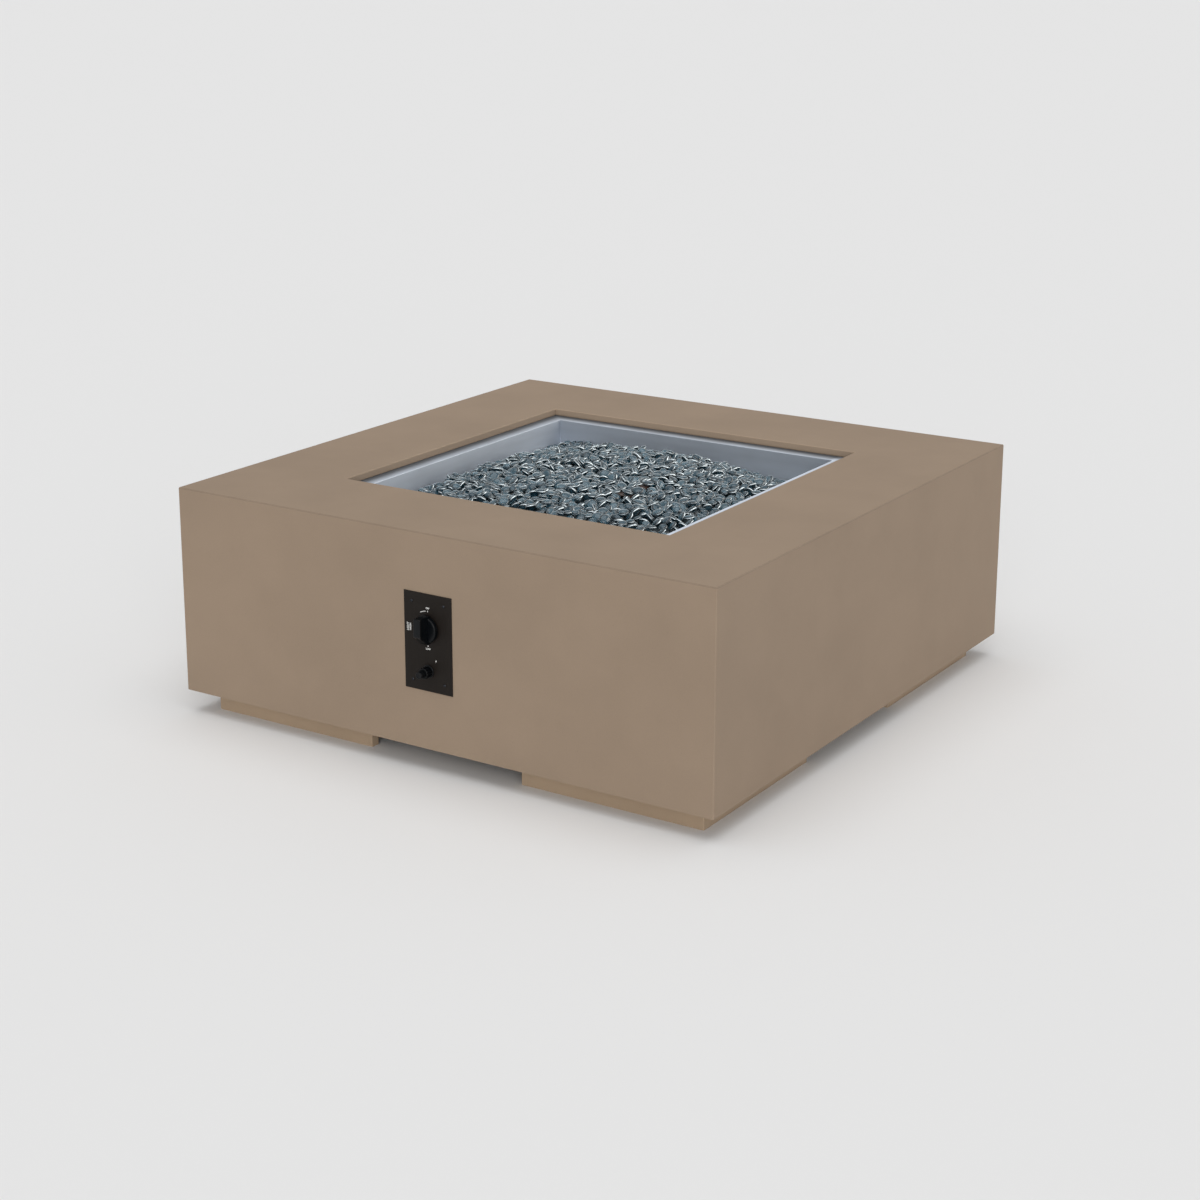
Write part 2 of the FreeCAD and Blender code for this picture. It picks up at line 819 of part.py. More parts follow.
def igniter_hood():
    half = hood_width / 2
    inside = half - hood_sheet
    peak = top - hood_drop
    wing = half + hood_tab
    cover = block(hood_x - half, hood_x + half, hood_front, hood_back, floor_top, peak)
    tabs = block(hood_x - wing, hood_x + wing, hood_front, hood_back, floor_top, floor_top + hood_sheet)
    cuts = [block(hood_x - inside, hood_x + inside, hood_front - past, hood_back + past,
                  floor_top - past, peak - hood_sheet)]
    cuts += [bore(m4[0] + loose, (x, y, floor_top), (0, 0, 1), hood_sheet) for x, y in hood_screw_points()]
    pitch = hood_length / hood_slots
    slot_low = (floor_top + peak - hood_slot_height) / 2
    for i in range(hood_slots):
        y = hood_front + (i + 0.5) * pitch - hood_slot_width / 2
        cuts.append(block(hood_x - half - past, hood_x + half + past, y, y + hood_slot_width,
                          slot_low, slot_low + hood_slot_height))
    return cover.fuse(tabs).removeSplitter().cut(cuts)


def spark_ceramic():
    spot = sensor_spots()[1]
    low = (*spot, floor_under - ceramic_below)
    length = ceramic_below + sheet + ceramic_above
    stick = rod(ceramic_radius, low, (0, 0, 1), length)
    collar = rod(collar_radius, (*spot, floor_top), (0, 0, 1), collar_height)
    return stick.fuse(collar).cut(bore(rod_radius + running, low, (0, 0, 1), length))


def rod_end():
    return (*sensor_spots()[1], floor_under - ceramic_below - rod_tail)


def electrode_rod():
    x, y = sensor_spots()[1]
    tip = (x, -burner_radius - rod_gap, rod_tip_z)
    return swept(rod_radius, [rod_end(), (x, y, rod_tip_z), tip], rod_bend_share)


def probe_end():
    return (*sensor_spots()[0], floor_under - probe_below)


def thermocouple():
    probe = rod(probe_radius, probe_end(), (0, 0, 1), probe_below + sheet + probe_above)
    return probe.fuse(rod(collar_radius, (*sensor_spots()[0], floor_top), (0, 0, 1), collar_height))


# Valve, stem and knob: the axis runs along Y through the panel

def safety_valve():
    front_way, back_way = (0, -1, 0), (0, 1, 0)
    neck_end = valve_face - valve_neck_length
    half = valve_width / 2
    body = block(-half, half, valve_face, valve_back, knob_z - valve_down, knob_z + valve_up)
    neck = rod(valve_neck_radius, (0, valve_mid, knob_z), front_way, valve_mid - neck_end)
    outlet = rod(flare_radius, (0, valve_mid, outlet_z), back_way, valve_back + flare_length - valve_mid)
    inside = seat + plunger_length + valve_spring_length
    cuts = [bore(stem_radius + running, (0, neck_end, knob_z), back_way, valve_neck_wall),
            rod(plunger_radius + running, (0, plunger_front, knob_z), back_way, inside),
            hole(flare_bore, (0, valve_back + flare_length, outlet_z), front_way, flare_length + flare_bore),
            hole(sensor_thread_radius + running, (0, valve_back, sensor_port_z), front_way,
                 sensor_port_depth),
            hole(spigot_radius + running, (-half, valve_mid, knob_z), (1, 0, 0), spigot_length)]
    for x, z in valve_screw_points():
        cuts.append(hole(m4[0] + running, (x, valve_face, z), back_way, valve_screw_reach + short))
    return body.fuse([neck, outlet]).cut(cuts)


def valve_plunger():
    start = (0, plunger_front + seat, knob_z)
    body = rod(plunger_radius, start, (0, 1, 0), plunger_length)
    return body.cut(hole(stem_radius + running, start, (0, 1, 0), stem_in_plunger + seat))


def stem_shape(radius, front, back):
    # The end of the stem that drives the knob: round, with one flat on top.
    shaft = rod(radius, (0, front, knob_z), (0, 1, 0), back - front)
    flat = knob_z + radius - stem_flat
    return shaft.common(block(-radius, radius, front - past, back + past, knob_z - radius, flat))


def valve_stem():
    back = plunger_front + seat + stem_in_plunger
    turned = rod(stem_radius, (0, knob_base, knob_z), (0, 1, 0), back - knob_base)
    return turned.fuse(stem_shape(stem_radius, knob_base - stem_in_knob, knob_base))


def grip_section(width, down, up, stand):
    # An upright rectangle this far in front of the knob's back, from below the axis to above it.
    side, y = width / 2, knob_base - stand
    low, high = knob_z - down, knob_z + up
    corners = [(-side, low), (side, low), (side, high), (-side, high), (-side, low)]
    return Part.makePolygon([Vector(x, y, z) for x, z in corners])


def control_knob():
    # The grip's upper end is nearly square and points at the dial, its lower end slopes to the hub.
    hub = Part.makeCone(knob_radius, knob_radius - knob_taper, knob_hub_height, Vector(0, knob_base, knob_z),
                        Vector(0, -1, 0))
    front = knob_base - knob_height
    grip = Part.makeLoft([grip_section(grip_width, grip_half, grip_half, 0),
                          grip_section(grip_width, grip_half, grip_half, knob_hub_height),
                          grip_section(grip_tip_width, grip_tip_down, grip_tip_up, knob_height)], True, True)
    grip = eased(grip, knob_ease, lambda box: box.YMax < front + past)
    socket = stem_shape(stem_radius + running, knob_base - stem_in_knob - seat, knob_base + past)
    return hub.fuse(grip).cut(socket)


def coil_spring(bore_radius, start, length):
    outer = bore_radius - spring_step
    return pipe(outer, outer - spring_wire, start, (0, 1, 0), length)


def valve_spring():
    start = plunger_front + seat + plunger_length
    return coil_spring(plunger_radius, (0, start, knob_z), valve_spring_length)


def valve_bracket():
    half = valve_width / 2
    back = -half_width + bracket_sheet
    web = block(-half, half, bracket_face, valve_face, knob_z - bracket_half, knob_z + bracket_half)
    folds = []
    for way in (-1, 1):
        turn = knob_z + way * bracket_half
        inner, end = turn - way * bracket_sheet, turn + way * bracket_tab
        folds.append(block(-half, half, -half_width, valve_face, min(turn, inner), max(turn, inner)))
        folds.append(block(-half, half, -half_width, back, min(turn, end), max(turn, end)))
    holes = [bore(valve_neck_radius + loose, (0, bracket_face, knob_z), (0, 1, 0), bracket_sheet)]
    for x, z in valve_screw_points():
        holes.append(bore(m4[0] + loose, (x, bracket_face, z), (0, 1, 0), bracket_sheet))
    return web.fuse(folds).removeSplitter().cut(holes)


def valve_screws():
    solids = []
    for x, z in valve_screw_points():
        solids += bolt(m4, (x, bracket_face, z), (0, 1, 0), bracket_sheet + valve_screw_reach)
    return group(solids)


# Panel and igniter

def control_panel():
    half = panel_width / 2
    face = block(-half, half, panel_face, -half_width, panel_base, panel_base + panel_height)
    holes = [bore(m4[0] + loose, (x, panel_face, z), (0, 1, 0), panel_sheet) for x, z in panel_screw_points()]
    holes.append(bore(stem_radius + stem_clear, (0, panel_face, knob_z), (0, 1, 0), panel_sheet))
    holes.append(bore(igniter_radius + loose, (0, panel_face, igniter_z), (0, 1, 0), panel_sheet))
    return face.cut(holes)


def panel_screws():
    solids = []
    wide = m4[1] / 2
    for x, z in panel_screw_points():
        head = Part.makeCone(wide, wide - head_taper, m4[0], Vector(x, panel_face, z), Vector(0, -1, 0))
        shank = rod(m4[0], (x, panel_face, z), (0, 1, 0), panel_sheet + panel_insert_length - screw_short)
        solids.append(head.fuse(shank))
    return group(solids)


def panel_inserts():
    inner = m4[0] + running
    return group([pipe(panel_insert_radius, inner, (x, -half_width, z), (0, 1, 0), panel_insert_length)
                  for x, z in panel_screw_points()])


def fluted_cap():
    # The part of the igniter's body that the fingers turn, in front of its bezel.
    radius, inward = igniter_radius + cap_wall, (0, 1, 0)
    cap = rod(radius, (0, igniter_front, igniter_z), inward, cap_height)
    cap = eased(cap, button_ease, lambda box: box.YMax < igniter_front + past)
    flutes = []
    for i in range(cap_flutes):
        turn = 2 * math.pi * i / cap_flutes
        spot = (radius * math.cos(turn), igniter_front, igniter_z + radius * math.sin(turn))
        flutes.append(hole(flute_radius, spot, inward, cap_height))
    return cap.cut(flutes)


def igniter_body():
    front = (0, igniter_front, igniter_z)
    inward = (0, 1, 0)
    barrel = rod(igniter_radius, front, inward, igniter_back - igniter_front)
    bezel = rod(bezel_radius, (0, panel_face - bezel_height, igniter_z), inward, bezel_height)
    terminal = rod(spark_lead_radius + terminal_wall, (0, igniter_back, igniter_z), inward, terminal_length)
    cuts = [hole(button_radius + running, front, inward, battery_front - igniter_front),
            rod(battery_radius + loose, front, inward, igniter_back - igniter_end_wall - igniter_front)]
    return barrel.fuse([bezel, terminal, fluted_cap()]).cut(cuts)


def igniter_button():
    length = button_push + button_stand + button_depth
    button = rod(button_radius, (0, button_back, igniter_z), (0, -1, 0), length)
    return eased(button, button_ease, lambda box: box.YMax < button_back - length + past)


def igniter_spring():
    return coil_spring(battery_radius, (0, button_back, igniter_z), igniter_spring_length)


def igniter_battery():
    front = (0, battery_front, igniter_z)
    cell = rod(battery_radius, front, (0, 1, 0), battery_length)
    return cell.fuse(rod(battery_nub_radius, front, (0, 1, 0), battery_length + battery_nub))


def igniter_nut():
    start = (0, -half_width, igniter_z)
    return pipe(igniter_nut_radius, igniter_radius + running, start, (0, 1, 0), igniter_nut_height)


def control_box():
    half = cover_width / 2
    inside = half - cover_sheet
    wing = half + cover_tab
    cover = block(-half, half, -inner_half, cover_face, cover_low, cover_high)
    tabs = block(-wing, wing, -inner_half, cover_sheet - inner_half, cover_low, cover_high)
    back = cover_face - cover_sheet
    cuts = [block(-inside, inside, -inner_half - past, back, cover_low - past, cover_high - cover_sheet),
            block(-hose_window_half, hose_window_half, back - past, cover_face + past,
                  outlet_z - hose_window_height / 2, outlet_z + hose_window_height / 2)]
    for x, z in cover_screw_points():
        cuts.append(bore(m4[0] + loose, (x, -inner_half, z), (0, 1, 0), cover_sheet))
    return cover.fuse(tabs).removeSplitter().cut(cuts)


def box_screws():
    solids = []
    for x, z in cover_screw_points():
        solids += bolt(m4, (x, cover_sheet - inner_half, z), (0, -1, 0), cover_sheet + side_wall / 2 - short)
    return group(solids)


# Gas inlet and supply hose

def inlet_elbow():
    return elbow((elbow_x, valve_mid, knob_z), (1, 0, 0), elbow_gap + spigot_length - short, (0, 0, -1))


def inlet_bracket():
    half = inlet_width / 2
    up = (0, 0, 1)
    shelf = block(elbow_x - half, elbow_x + half, plate_margin - inner_half, inlet_y + inlet_end,
                  return_top, return_top + inlet_plate)
    holes = [bore(m8[0] + loose, (x, y, return_top), up, inlet_plate) for x, y in inlet_bolt_points()]
    return shelf.cut(holes + [bore(flare_radius + loose, (elbow_x, inlet_y, return_top), up, inlet_plate)])


def union_ends():
    low = return_top - union_height - flare_length
    high = return_top + inlet_plate + union_height + flare_length
    return (elbow_x, inlet_y, low), (elbow_x, inlet_y, high)


def inlet_union():
    # A bulkhead union: a hexagon under the plate, and a flare thread down and up.
    low, high = union_ends()
    length = high[2] - low[2]
    hexed = hexagon(union_across, (elbow_x, inlet_y, return_top), (0, 0, -1), union_height)
    return rod(flare_radius, low, (0, 0, 1), length).fuse(hexed).cut(bore(flare_bore, low, (0, 0, 1), length))


def union_locknut():
    start = (elbow_x, inlet_y, return_top + inlet_plate)
    return nut(union_across, flare_radius + running, start, (0, 0, 1), union_height)


def hose_nut(flare_end, direction):
    # The nut covers the last part of the flare thread and the first part of the hose.
    start = moved(flare_end, direction, -nut_cover)
    body = hexagon(hose_nut_across, start, direction, hose_nut_length)
    return body.cut([hole(flare_radius + running, start, direction, nut_cover),
                     bore(hose_radius + running, start, direction, hose_nut_length)])


def supply_hose_run():
    # Down from the elbow, across to the middle of the base opening, and down to the union.
    high, low = (elbow_x, valve_mid, knob_z - elbow_side / 2 - flare_length), union_ends()[1]
    return high, moved(high, (0, 0, -1), supply_fall), moved(low, (0, 0, 1), supply_rise), low


def supply_hose():
    return swept(hose_radius, supply_hose_run())


def supply_hose_nuts():
    run = supply_hose_run()
    return group([hose_nut(run[0], (0, 0, -1)), hose_nut(run[-1], (0, 0, 1))])


# Burner hose and the leads that run beside it

def hose_run():
    # Level from the valve, down through the middle, level to the burner elbow.
    front = (0, valve_back + flare_length, outlet_z)
    back = (0, -elbow_side / 2 - flare_length, feed_z)
    length = back[1] - front[1]
    knee = (0, front[1] + hose_knee_share * length, outlet_z)
    return front, knee, (0, front[1] + hose_foot_share * length, feed_z), back


def burner_hose():
    return swept(hose_radius, hose_run())


def burner_hose_nuts():
    run = hose_run()
    return group([hose_nut(run[0], (0, 1, 0)), hose_nut(run[-1], (0, -1, 0))])


def along_last_run(share):
    lower, back = hose_run()[2:]
    return lower[1] + share * (back[1] - lower[1])


def hose_clips():
    out = hose_radius + clip_wall
    side = spark_lead_x + spark_lead_radius + clip_wall
    spots = [(cover_face + clip_length, outlet_z)]
    spots += [(along_last_run(share), feed_z) for share in clip_shares]
    held = ((0, hose_radius), (sensor_lead_x, sensor_lead_radius), (spark_lead_x, spark_lead_radius))
    solids = []
    for y, z in spots:
        strap = block(-out, side, y, y + clip_length, z - out, z + out)
        bores = [bore(radius + running, (x, y, z), (0, 1, 0), clip_length) for x, radius in held]
        solids.append(strap.cut(bores))
    return group(solids)


def beside_hose(x):
    # The stretch from the cover's window to behind the last clip, level with the hose.
    knee, lower = hose_run()[1:3]
    return [(x, cover_face - 2 * clip_length, outlet_z), (x, knee[1], outlet_z), (x, lower[1], feed_z),
            (x, along_last_run(lead_share), feed_z)]


def last_points(end, steps):
    return [(share * end[0], end[1] + y, end[2] + z) for share, y, z in steps]


def thermocouple_lead():
    start = valve_back + sensor_nut_length
    before, up = sensor_lead_step
    points = [(0, start, sensor_port_z), (0, start + lead_straight, sensor_port_z),
              (sensor_lead_x, cover_face - before, sensor_port_z + up)]
    points += beside_hose(sensor_lead_x) + last_points(probe_end(), sensor_lead_end)
    return swept(sensor_lead_radius, points)


def ignition_lead():
    start = igniter_back + terminal_length
    before, up = spark_lead_step
    rise_x, rise_y = spark_lead_x + spark_lead_radius, cover_face - before
    points = [(0, start, igniter_z), (0, start + lead_straight, igniter_z), (rise_x, rise_y, igniter_z + up),
              (rise_x, rise_y, outlet_z - up)]
    points += beside_hose(spark_lead_x) + last_points(rod_end(), spark_lead_end)
    return swept(spark_lead_radius, points)


def thermocouple_nut():
    body = hexagon(sensor_nut_across, (0, valve_back, sensor_port_z), (0, 1, 0), sensor_nut_length)
    thread = rod(sensor_thread_radius, (0, valve_back, sensor_port_z), (0, -1, 0), sensor_port_depth - short)
    return body.fuse(thread)


def pieces():
    nodes = {}
    for name, side in quarters.items():
        nodes["foot_" + name] = foot(side)
        nodes["post_" + name] = post(side)
    for name, face in (("front", -1), ("back", 1)):
        nodes["bearer_" + name] = bearer(face)
    for name, face in (("left", -1), ("right", 1)):
        nodes["crossbar_" + name] = crossbar(face)
    makers = [shell, foot_bolts, base_bolts, frame_bolts, pan_gasket, burner_pan, fire_glass, burner,
              burner_feet, pan_screws, burner_nipple, nipple_locknut, air_mixer, orifice_elbow, igniter_hood,
              spark_ceramic, electrode_rod, thermocouple, safety_valve, valve_plunger, valve_stem,
              valve_spring, valve_bracket, valve_screws, control_knob, control_panel, panel_screws,
              panel_inserts, igniter_body, igniter_button, igniter_spring, igniter_battery, igniter_nut,
              control_box, box_screws, inlet_elbow, inlet_bracket, inlet_union, union_locknut, supply_hose,
              supply_hose_nuts, burner_hose, burner_hose_nuts, hose_clips, thermocouple_lead, ignition_lead,
              thermocouple_nut]
    for make in makers:
        nodes[make.__name__] = make()
    return nodes


os.makedirs("parts", exist_ok=True)
for node, shape in pieces().items():
    shape.exportStep(os.path.join("parts", node + ".step"))
    print(node, len(shape.Solids), round(shape.Volume / 1000, 1), shape.isValid())
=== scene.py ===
import json
import math

import bmesh
import bpy
import numpy as np
from mathutils import Matrix, Vector
from mathutils.bvhtree import BVHTree

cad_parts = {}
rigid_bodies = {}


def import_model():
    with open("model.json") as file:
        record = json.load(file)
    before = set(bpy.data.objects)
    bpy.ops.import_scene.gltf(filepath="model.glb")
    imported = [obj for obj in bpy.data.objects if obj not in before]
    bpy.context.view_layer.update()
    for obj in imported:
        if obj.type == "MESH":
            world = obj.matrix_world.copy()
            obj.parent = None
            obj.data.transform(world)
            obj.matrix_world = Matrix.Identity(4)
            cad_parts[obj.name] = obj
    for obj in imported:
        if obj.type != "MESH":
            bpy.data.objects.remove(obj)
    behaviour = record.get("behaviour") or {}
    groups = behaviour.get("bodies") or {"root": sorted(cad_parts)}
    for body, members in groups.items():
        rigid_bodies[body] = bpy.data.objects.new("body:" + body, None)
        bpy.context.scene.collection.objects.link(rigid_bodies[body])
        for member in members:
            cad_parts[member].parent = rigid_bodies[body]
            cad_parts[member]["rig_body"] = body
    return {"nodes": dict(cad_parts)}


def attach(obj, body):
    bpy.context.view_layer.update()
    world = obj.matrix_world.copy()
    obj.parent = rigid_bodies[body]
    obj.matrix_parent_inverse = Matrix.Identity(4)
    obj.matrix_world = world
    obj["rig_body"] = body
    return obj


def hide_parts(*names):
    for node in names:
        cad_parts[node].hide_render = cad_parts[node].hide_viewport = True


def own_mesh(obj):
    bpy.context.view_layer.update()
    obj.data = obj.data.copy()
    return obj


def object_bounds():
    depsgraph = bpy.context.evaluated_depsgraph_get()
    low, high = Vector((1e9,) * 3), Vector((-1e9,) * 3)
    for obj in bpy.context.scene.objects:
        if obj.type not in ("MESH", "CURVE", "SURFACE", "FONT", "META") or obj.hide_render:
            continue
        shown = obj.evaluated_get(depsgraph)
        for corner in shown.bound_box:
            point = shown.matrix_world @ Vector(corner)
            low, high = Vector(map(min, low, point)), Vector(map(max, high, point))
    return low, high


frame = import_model()
nodes = frame["nodes"]
cadLow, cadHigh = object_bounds()
print("frame loaded:", len(nodes), "nodes")

mm = 0.001
fullTurn = 2 * math.pi


# Small helpers

def linear(hexColour):
    # sRGB hex to the linear values that the sockets take
    channels = [int(hexColour[i:i + 2], 16) / 255 for i in (1, 3, 5)]
    return [c / 12.92 if c <= 0.04045 else ((c + 0.055) / 1.055) ** 2.4 for c in channels] + [1.0]


def perMetre(sizeInMm):
    # the scale of a pattern whose grain is this big on the real object
    return 1.0 / (sizeInMm * mm)


def circle(count):
    # the angles of this many points around a full turn
    return [fullTurn * i / count for i in range(count)]


def sharpen(mesh, degrees=35):
    # edges steeper than this stay crisp, all others are shaded round
    mesh.polygons.foreach_set("use_smooth", [True] * len(mesh.polygons))
    mesh.set_sharp_from_angle(angle=math.radians(degrees))


def placePiece(name, mesh, body, look, stands=(), smooth=True):
    made = bpy.data.objects.new(name, mesh)
    bpy.context.scene.collection.objects.link(made)
    mesh.materials.clear()
    mesh.materials.append(looks[look])
    if smooth:
        mesh.polygons.foreach_set("use_smooth", [True] * len(mesh.polygons))
    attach(made, body)
    if stands:
        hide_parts(*stands)
    return made


def newPiece(name, shape, body, look, stands=(), smooth=True, crisp=None):
    # a piece made of points and faces; crisp is the angle from which its edges stay sharp
    verts, faces = shape
    mesh = bpy.data.meshes.new(name)
    mesh.from_pydata([tuple(v) for v in verts], [], [tuple(f) for f in faces])
    mesh.update()
    made = placePiece(name, mesh, body, look, stands, smooth)
    if crisp:
        sharpen(mesh, crisp)
    return made


def skin(rings, closeStart=True, closeEnd=True):
    # a surface through rings of points, all with the same count
    count = len(rings[0])
    verts = [p for ring in rings for p in ring]
    faces = []
    for level in range(len(rings) - 1):
        for i in range(count):
            a, b = level * count + i, level * count + (i + 1) % count
            faces.append((a, b, b + count, a + count))
    if closeStart:
        faces.append(tuple(reversed(range(count))))
    if closeEnd:
        faces.append(tuple(range(len(verts) - count, len(verts))))
    return verts, faces


def joined(*shapes):
    verts, faces = [], []
    for someVerts, someFaces in shapes:
        start = len(verts)
        verts += list(someVerts)
        faces += [tuple(i + start for i in face) for face in someFaces]
    return verts, faces


def ringAbout(centre, y, radii):
    # a ring of points about an axis along Y, with a radius for each point, all in mm
    return [((centre[0] + radius * math.cos(a)) * mm, y * mm, (centre[1] + radius * math.sin(a)) * mm)
            for radius, a in zip(radii, circle(len(radii)))]


def turned(profile, centre, count=48, closeStart=True, closeEnd=True):
    # a turned shape about an axis along Y: the profile is radius and y, both in mm
    return skin([ringAbout(centre, y, [radius] * count) for radius, y in profile], closeStart, closeEnd)


def hoop(centre, side, other, radius, count):
    # a ring of points in the plane of two directions, in metres
    return [tuple(Vector(centre) + (side * math.cos(a) + other * math.sin(a)) * radius)
            for a in circle(count)]


def meshOf(curve):
    # the mesh that a curve or a text makes
    holder = bpy.data.objects.new("curve", curve)
    bpy.context.scene.collection.objects.link(holder)
    bpy.context.view_layer.update()
    mesh = bpy.data.meshes.new_from_object(holder.evaluated_get(bpy.context.evaluated_depsgraph_get()))
    bpy.data.objects.remove(holder)
    return mesh


def boxOf(name):
    # the low and high corners of a CAD node that stands still, in mm
    corners = np.array([nodes[name].matrix_world @ Vector(corner) for corner in nodes[name].bound_box]) / mm
    return corners.min(axis=0), corners.max(axis=0)


# Materials. Each colour is what the real finish shows in plain light, except where a comment says that light or
# shade is painted into it.

def addNode(tree, kind, inputs=None, **settings):
    # inputs take a plain value or the output of another node
    made = tree.nodes.new(kind)
    for name, value in settings.items():
        setattr(made, name, value)
    for name, value in (inputs or {}).items():
        if isinstance(value, bpy.types.NodeSocket):
            tree.links.new(value, made.inputs[name])
        else:
            made.inputs[name].default_value = value
    return made


def combined(tree, operation, first, second=0.0):
    return addNode(tree, "ShaderNodeMath", {0: first, 1: second}, operation=operation).outputs["Value"]


def spread(tree, value, low, high, toLow=0.0, toHigh=1.0):
    # carries a value from one range to another and holds it at both ends
    return addNode(tree, "ShaderNodeMapRange", {"Value": value, "From Min": low, "From Max": high,
                                                "To Min": toLow, "To Max": toHigh}).outputs["Result"]


def toned(tree, colour, *tones):
    # a colour made lighter or darker by each of these factors
    for tone in tones:
        scaled = addNode(tree, "ShaderNodeVectorMath", {0: colour, "Scale": tone}, operation="SCALE")
        colour = scaled.outputs["Vector"]
    return colour


def blend(tree, share, first, second):
    return addNode(tree, "ShaderNodeMix", {"Factor": share, "A": first, "B": second},
                   data_type="RGBA").outputs["Result"]


def noise(tree, place, sizeInMm, detail, roughness=0.5):
    return addNode(tree, "ShaderNodeTexNoise", {"Vector": place, "Scale": perMetre(sizeInMm), "Detail": detail,
                                                "Roughness": roughness}).outputs["Fac"]


def clouds(tree, place, sizeInMm, tone, detail, roughness=0.5):
    # broad, faint patches, lighter and darker by this share
    return spread(tree, noise(tree, place, sizeInMm, detail, roughness), 0.35, 0.65, 1 - tone, 1 + tone)


def cells(tree, place, sizeInMm):
    # small cells with a random colour each: the distance to the middle, and two of the random values
    made = addNode(tree, "ShaderNodeTexVoronoi", {"Vector": place, "Scale": perMetre(sizeInMm)}).outputs
    chance = addNode(tree, "ShaderNodeSeparateColor", {"Color": made["Color"]}).outputs
    return made["Distance"], chance["Red"], chance["Green"]


def fromMiddle(tree, place):
    # how far out a place is along x or y, whichever is more, then its x and its height
    apart = addNode(tree, "ShaderNodeSeparateXYZ", {"Vector": place}).outputs
    outX, outY = combined(tree, "ABSOLUTE", apart["X"]), combined(tree, "ABSOLUTE", apart["Y"])
    return combined(tree, "MAXIMUM", outX, outY), apart["X"], apart["Z"]


def feed(tree, socket, value):
    tree.links.new(value, tree.nodes["Principled BSDF"].inputs[socket])


def fedBy(tree, socket):
    return tree.nodes["Principled BSDF"].inputs[socket].links[0].from_socket


def finish(name, colour, roughness, metallic=0.0, grainMm=1.0, tone=0.05, roughVary=0.05, bumpMm=0.02,
           stretch=(1, 1, 1), **sockets):
    # the base of every finish: a colour that drifts a little, a grain of a real size and a shallow relief
    made = bpy.data.materials.new(name)
    made.use_nodes = True
    tree = made.node_tree
    shader = tree.nodes["Principled BSDF"]
    shader.inputs["Metallic"].default_value = metallic
    for socket, value in sockets.items():
        shader.inputs[socket.replace("_", " ")].default_value = value
    place = addNode(tree, "ShaderNodeTexCoord").outputs["Object"]
    scaled = addNode(tree, "ShaderNodeMapping", {"Vector": place, "Scale": stretch}).outputs["Vector"]
    grain = noise(tree, scaled, grainMm, 3.0)
    low, high = 0.3, 0.7  # between these lie nearly all values of a noise
    drift = spread(tree, grain, low, high, 1 - tone, 1 + tone)
    feed(tree, "Base Color", toned(tree, linear(colour)[:3], drift))
    feed(tree, "Roughness", spread(tree, grain, low, high, roughness - roughVary, roughness + roughVary))
    relief = addNode(tree, "ShaderNodeBump", {"Height": grain, "Distance": bumpMm * mm, "Strength": 1.0})
    feed(tree, "Normal", relief.outputs["Normal"])
    return made


def partsOf(material):
    # the node tree of a finish, the place on the object and the colour so far
    tree = material.node_tree
    place = [n for n in tree.nodes if n.type == "TEX_COORD"][0].outputs["Object"]
    return tree, place, fedBy(tree, "Base Color")


concreteLook = {"colour": "#948270", "footPaintedLightColour": "#aa957e", "roughness": 0.74, "gloss": 0.15, "sandMm": 1.3,
                "cloudMm": 210.0, "cloudTone": 0.035, "poreMm": 9.0, "poreOften": 0.06, "poreFlat": 0.04,
                "poreShare": 0.10, "poreShadeTone": 0.72, "poreDepthMm": 0.5, "lipWithin": 456.0, "lipFade": 1.5,
                "lipLightTone": 1.12, "arrisIn": 2.9, "arrisDown": 3.0, "arrisShadeTone": 0.84}


def castConcrete(name, colour):
    # GFRC cast face down in a smooth mould and sealed: matt and even, with faint clouds and a few pinholes
    look = concreteLook
    made = finish(name, colour, look["roughness"], grainMm=look["sandMm"], tone=0.035, roughVary=0.04,
                  bumpMm=0.035, IOR=1.45, Specular_IOR_Level=look["gloss"])
    tree, place, colour = partsOf(made)
    cloud = clouds(tree, place, look["cloudMm"], look["cloudTone"], 5.0, 0.55)
    away, chance, _ = cells(tree, place, look["poreMm"])
    pit = combined(tree, "MULTIPLY", spread(tree, away, look["poreFlat"], look["poreShare"], 1.0, 0.0),
                   combined(tree, "LESS_THAN", chance, look["poreOften"]))
    # painted shade: each pinhole is drawn darker, for the shade inside it; its dent is the bump below
    paintedPitShade = spread(tree, pit, 0.0, 1.0, 1.0, look["poreShadeTone"])
    dent = addNode(tree, "ShaderNodeBump", {"Height": combined(tree, "MULTIPLY", pit, -1.0), "Strength": 1.0,
                                            "Distance": look["poreDepthMm"] * mm,
                                            "Normal": fedBy(tree, "Normal")})
    far, _, height = fromMiddle(tree, place)
    # painted light: the rim of the opening is drawn a little paler, as if more light reached it
    lipEnd = look["lipWithin"] + look["lipFade"]
    lip = spread(tree, far, look["lipWithin"] * mm, lipEnd * mm, look["lipLightTone"], 1.0)
    # painted shade: the arris between top and sides is drawn a little darker, as its rounding turns away from
    # the light
    both = combined(tree, "MULTIPLY", combined(tree, "GREATER_THAN", far, cadHigh[0] - look["arrisIn"] * mm),
                    combined(tree, "GREATER_THAN", height, cadHigh[2] - look["arrisDown"] * mm))
    paintedArrisShade = spread(tree, both, 0.0, 1.0, 1.0, look["arrisShadeTone"])
    feed(tree, "Base Color", toned(tree, colour, cloud, paintedPitShade, lip, paintedArrisShade))
    feed(tree, "Normal", dent.outputs["Normal"])
    return made


steelLook = {"colour": "#c4ccd7", "roughness": 0.56, "metallic": 0.7, "stainMm": 160.0, "stainTone": 0.04,
             "lipShadowFrom": 418.0, "lipShadowTo": 442.0, "lipShadowKeeps": 0.3, "rimHighlightFrom": 405.0, "rimHighlightTo": 413.0,
             "rimHighlightTone": 1.5, "wallLow": 485.0, "wallHigh": 522.0, "lowTone": 1.0, "highTone": 0.74}


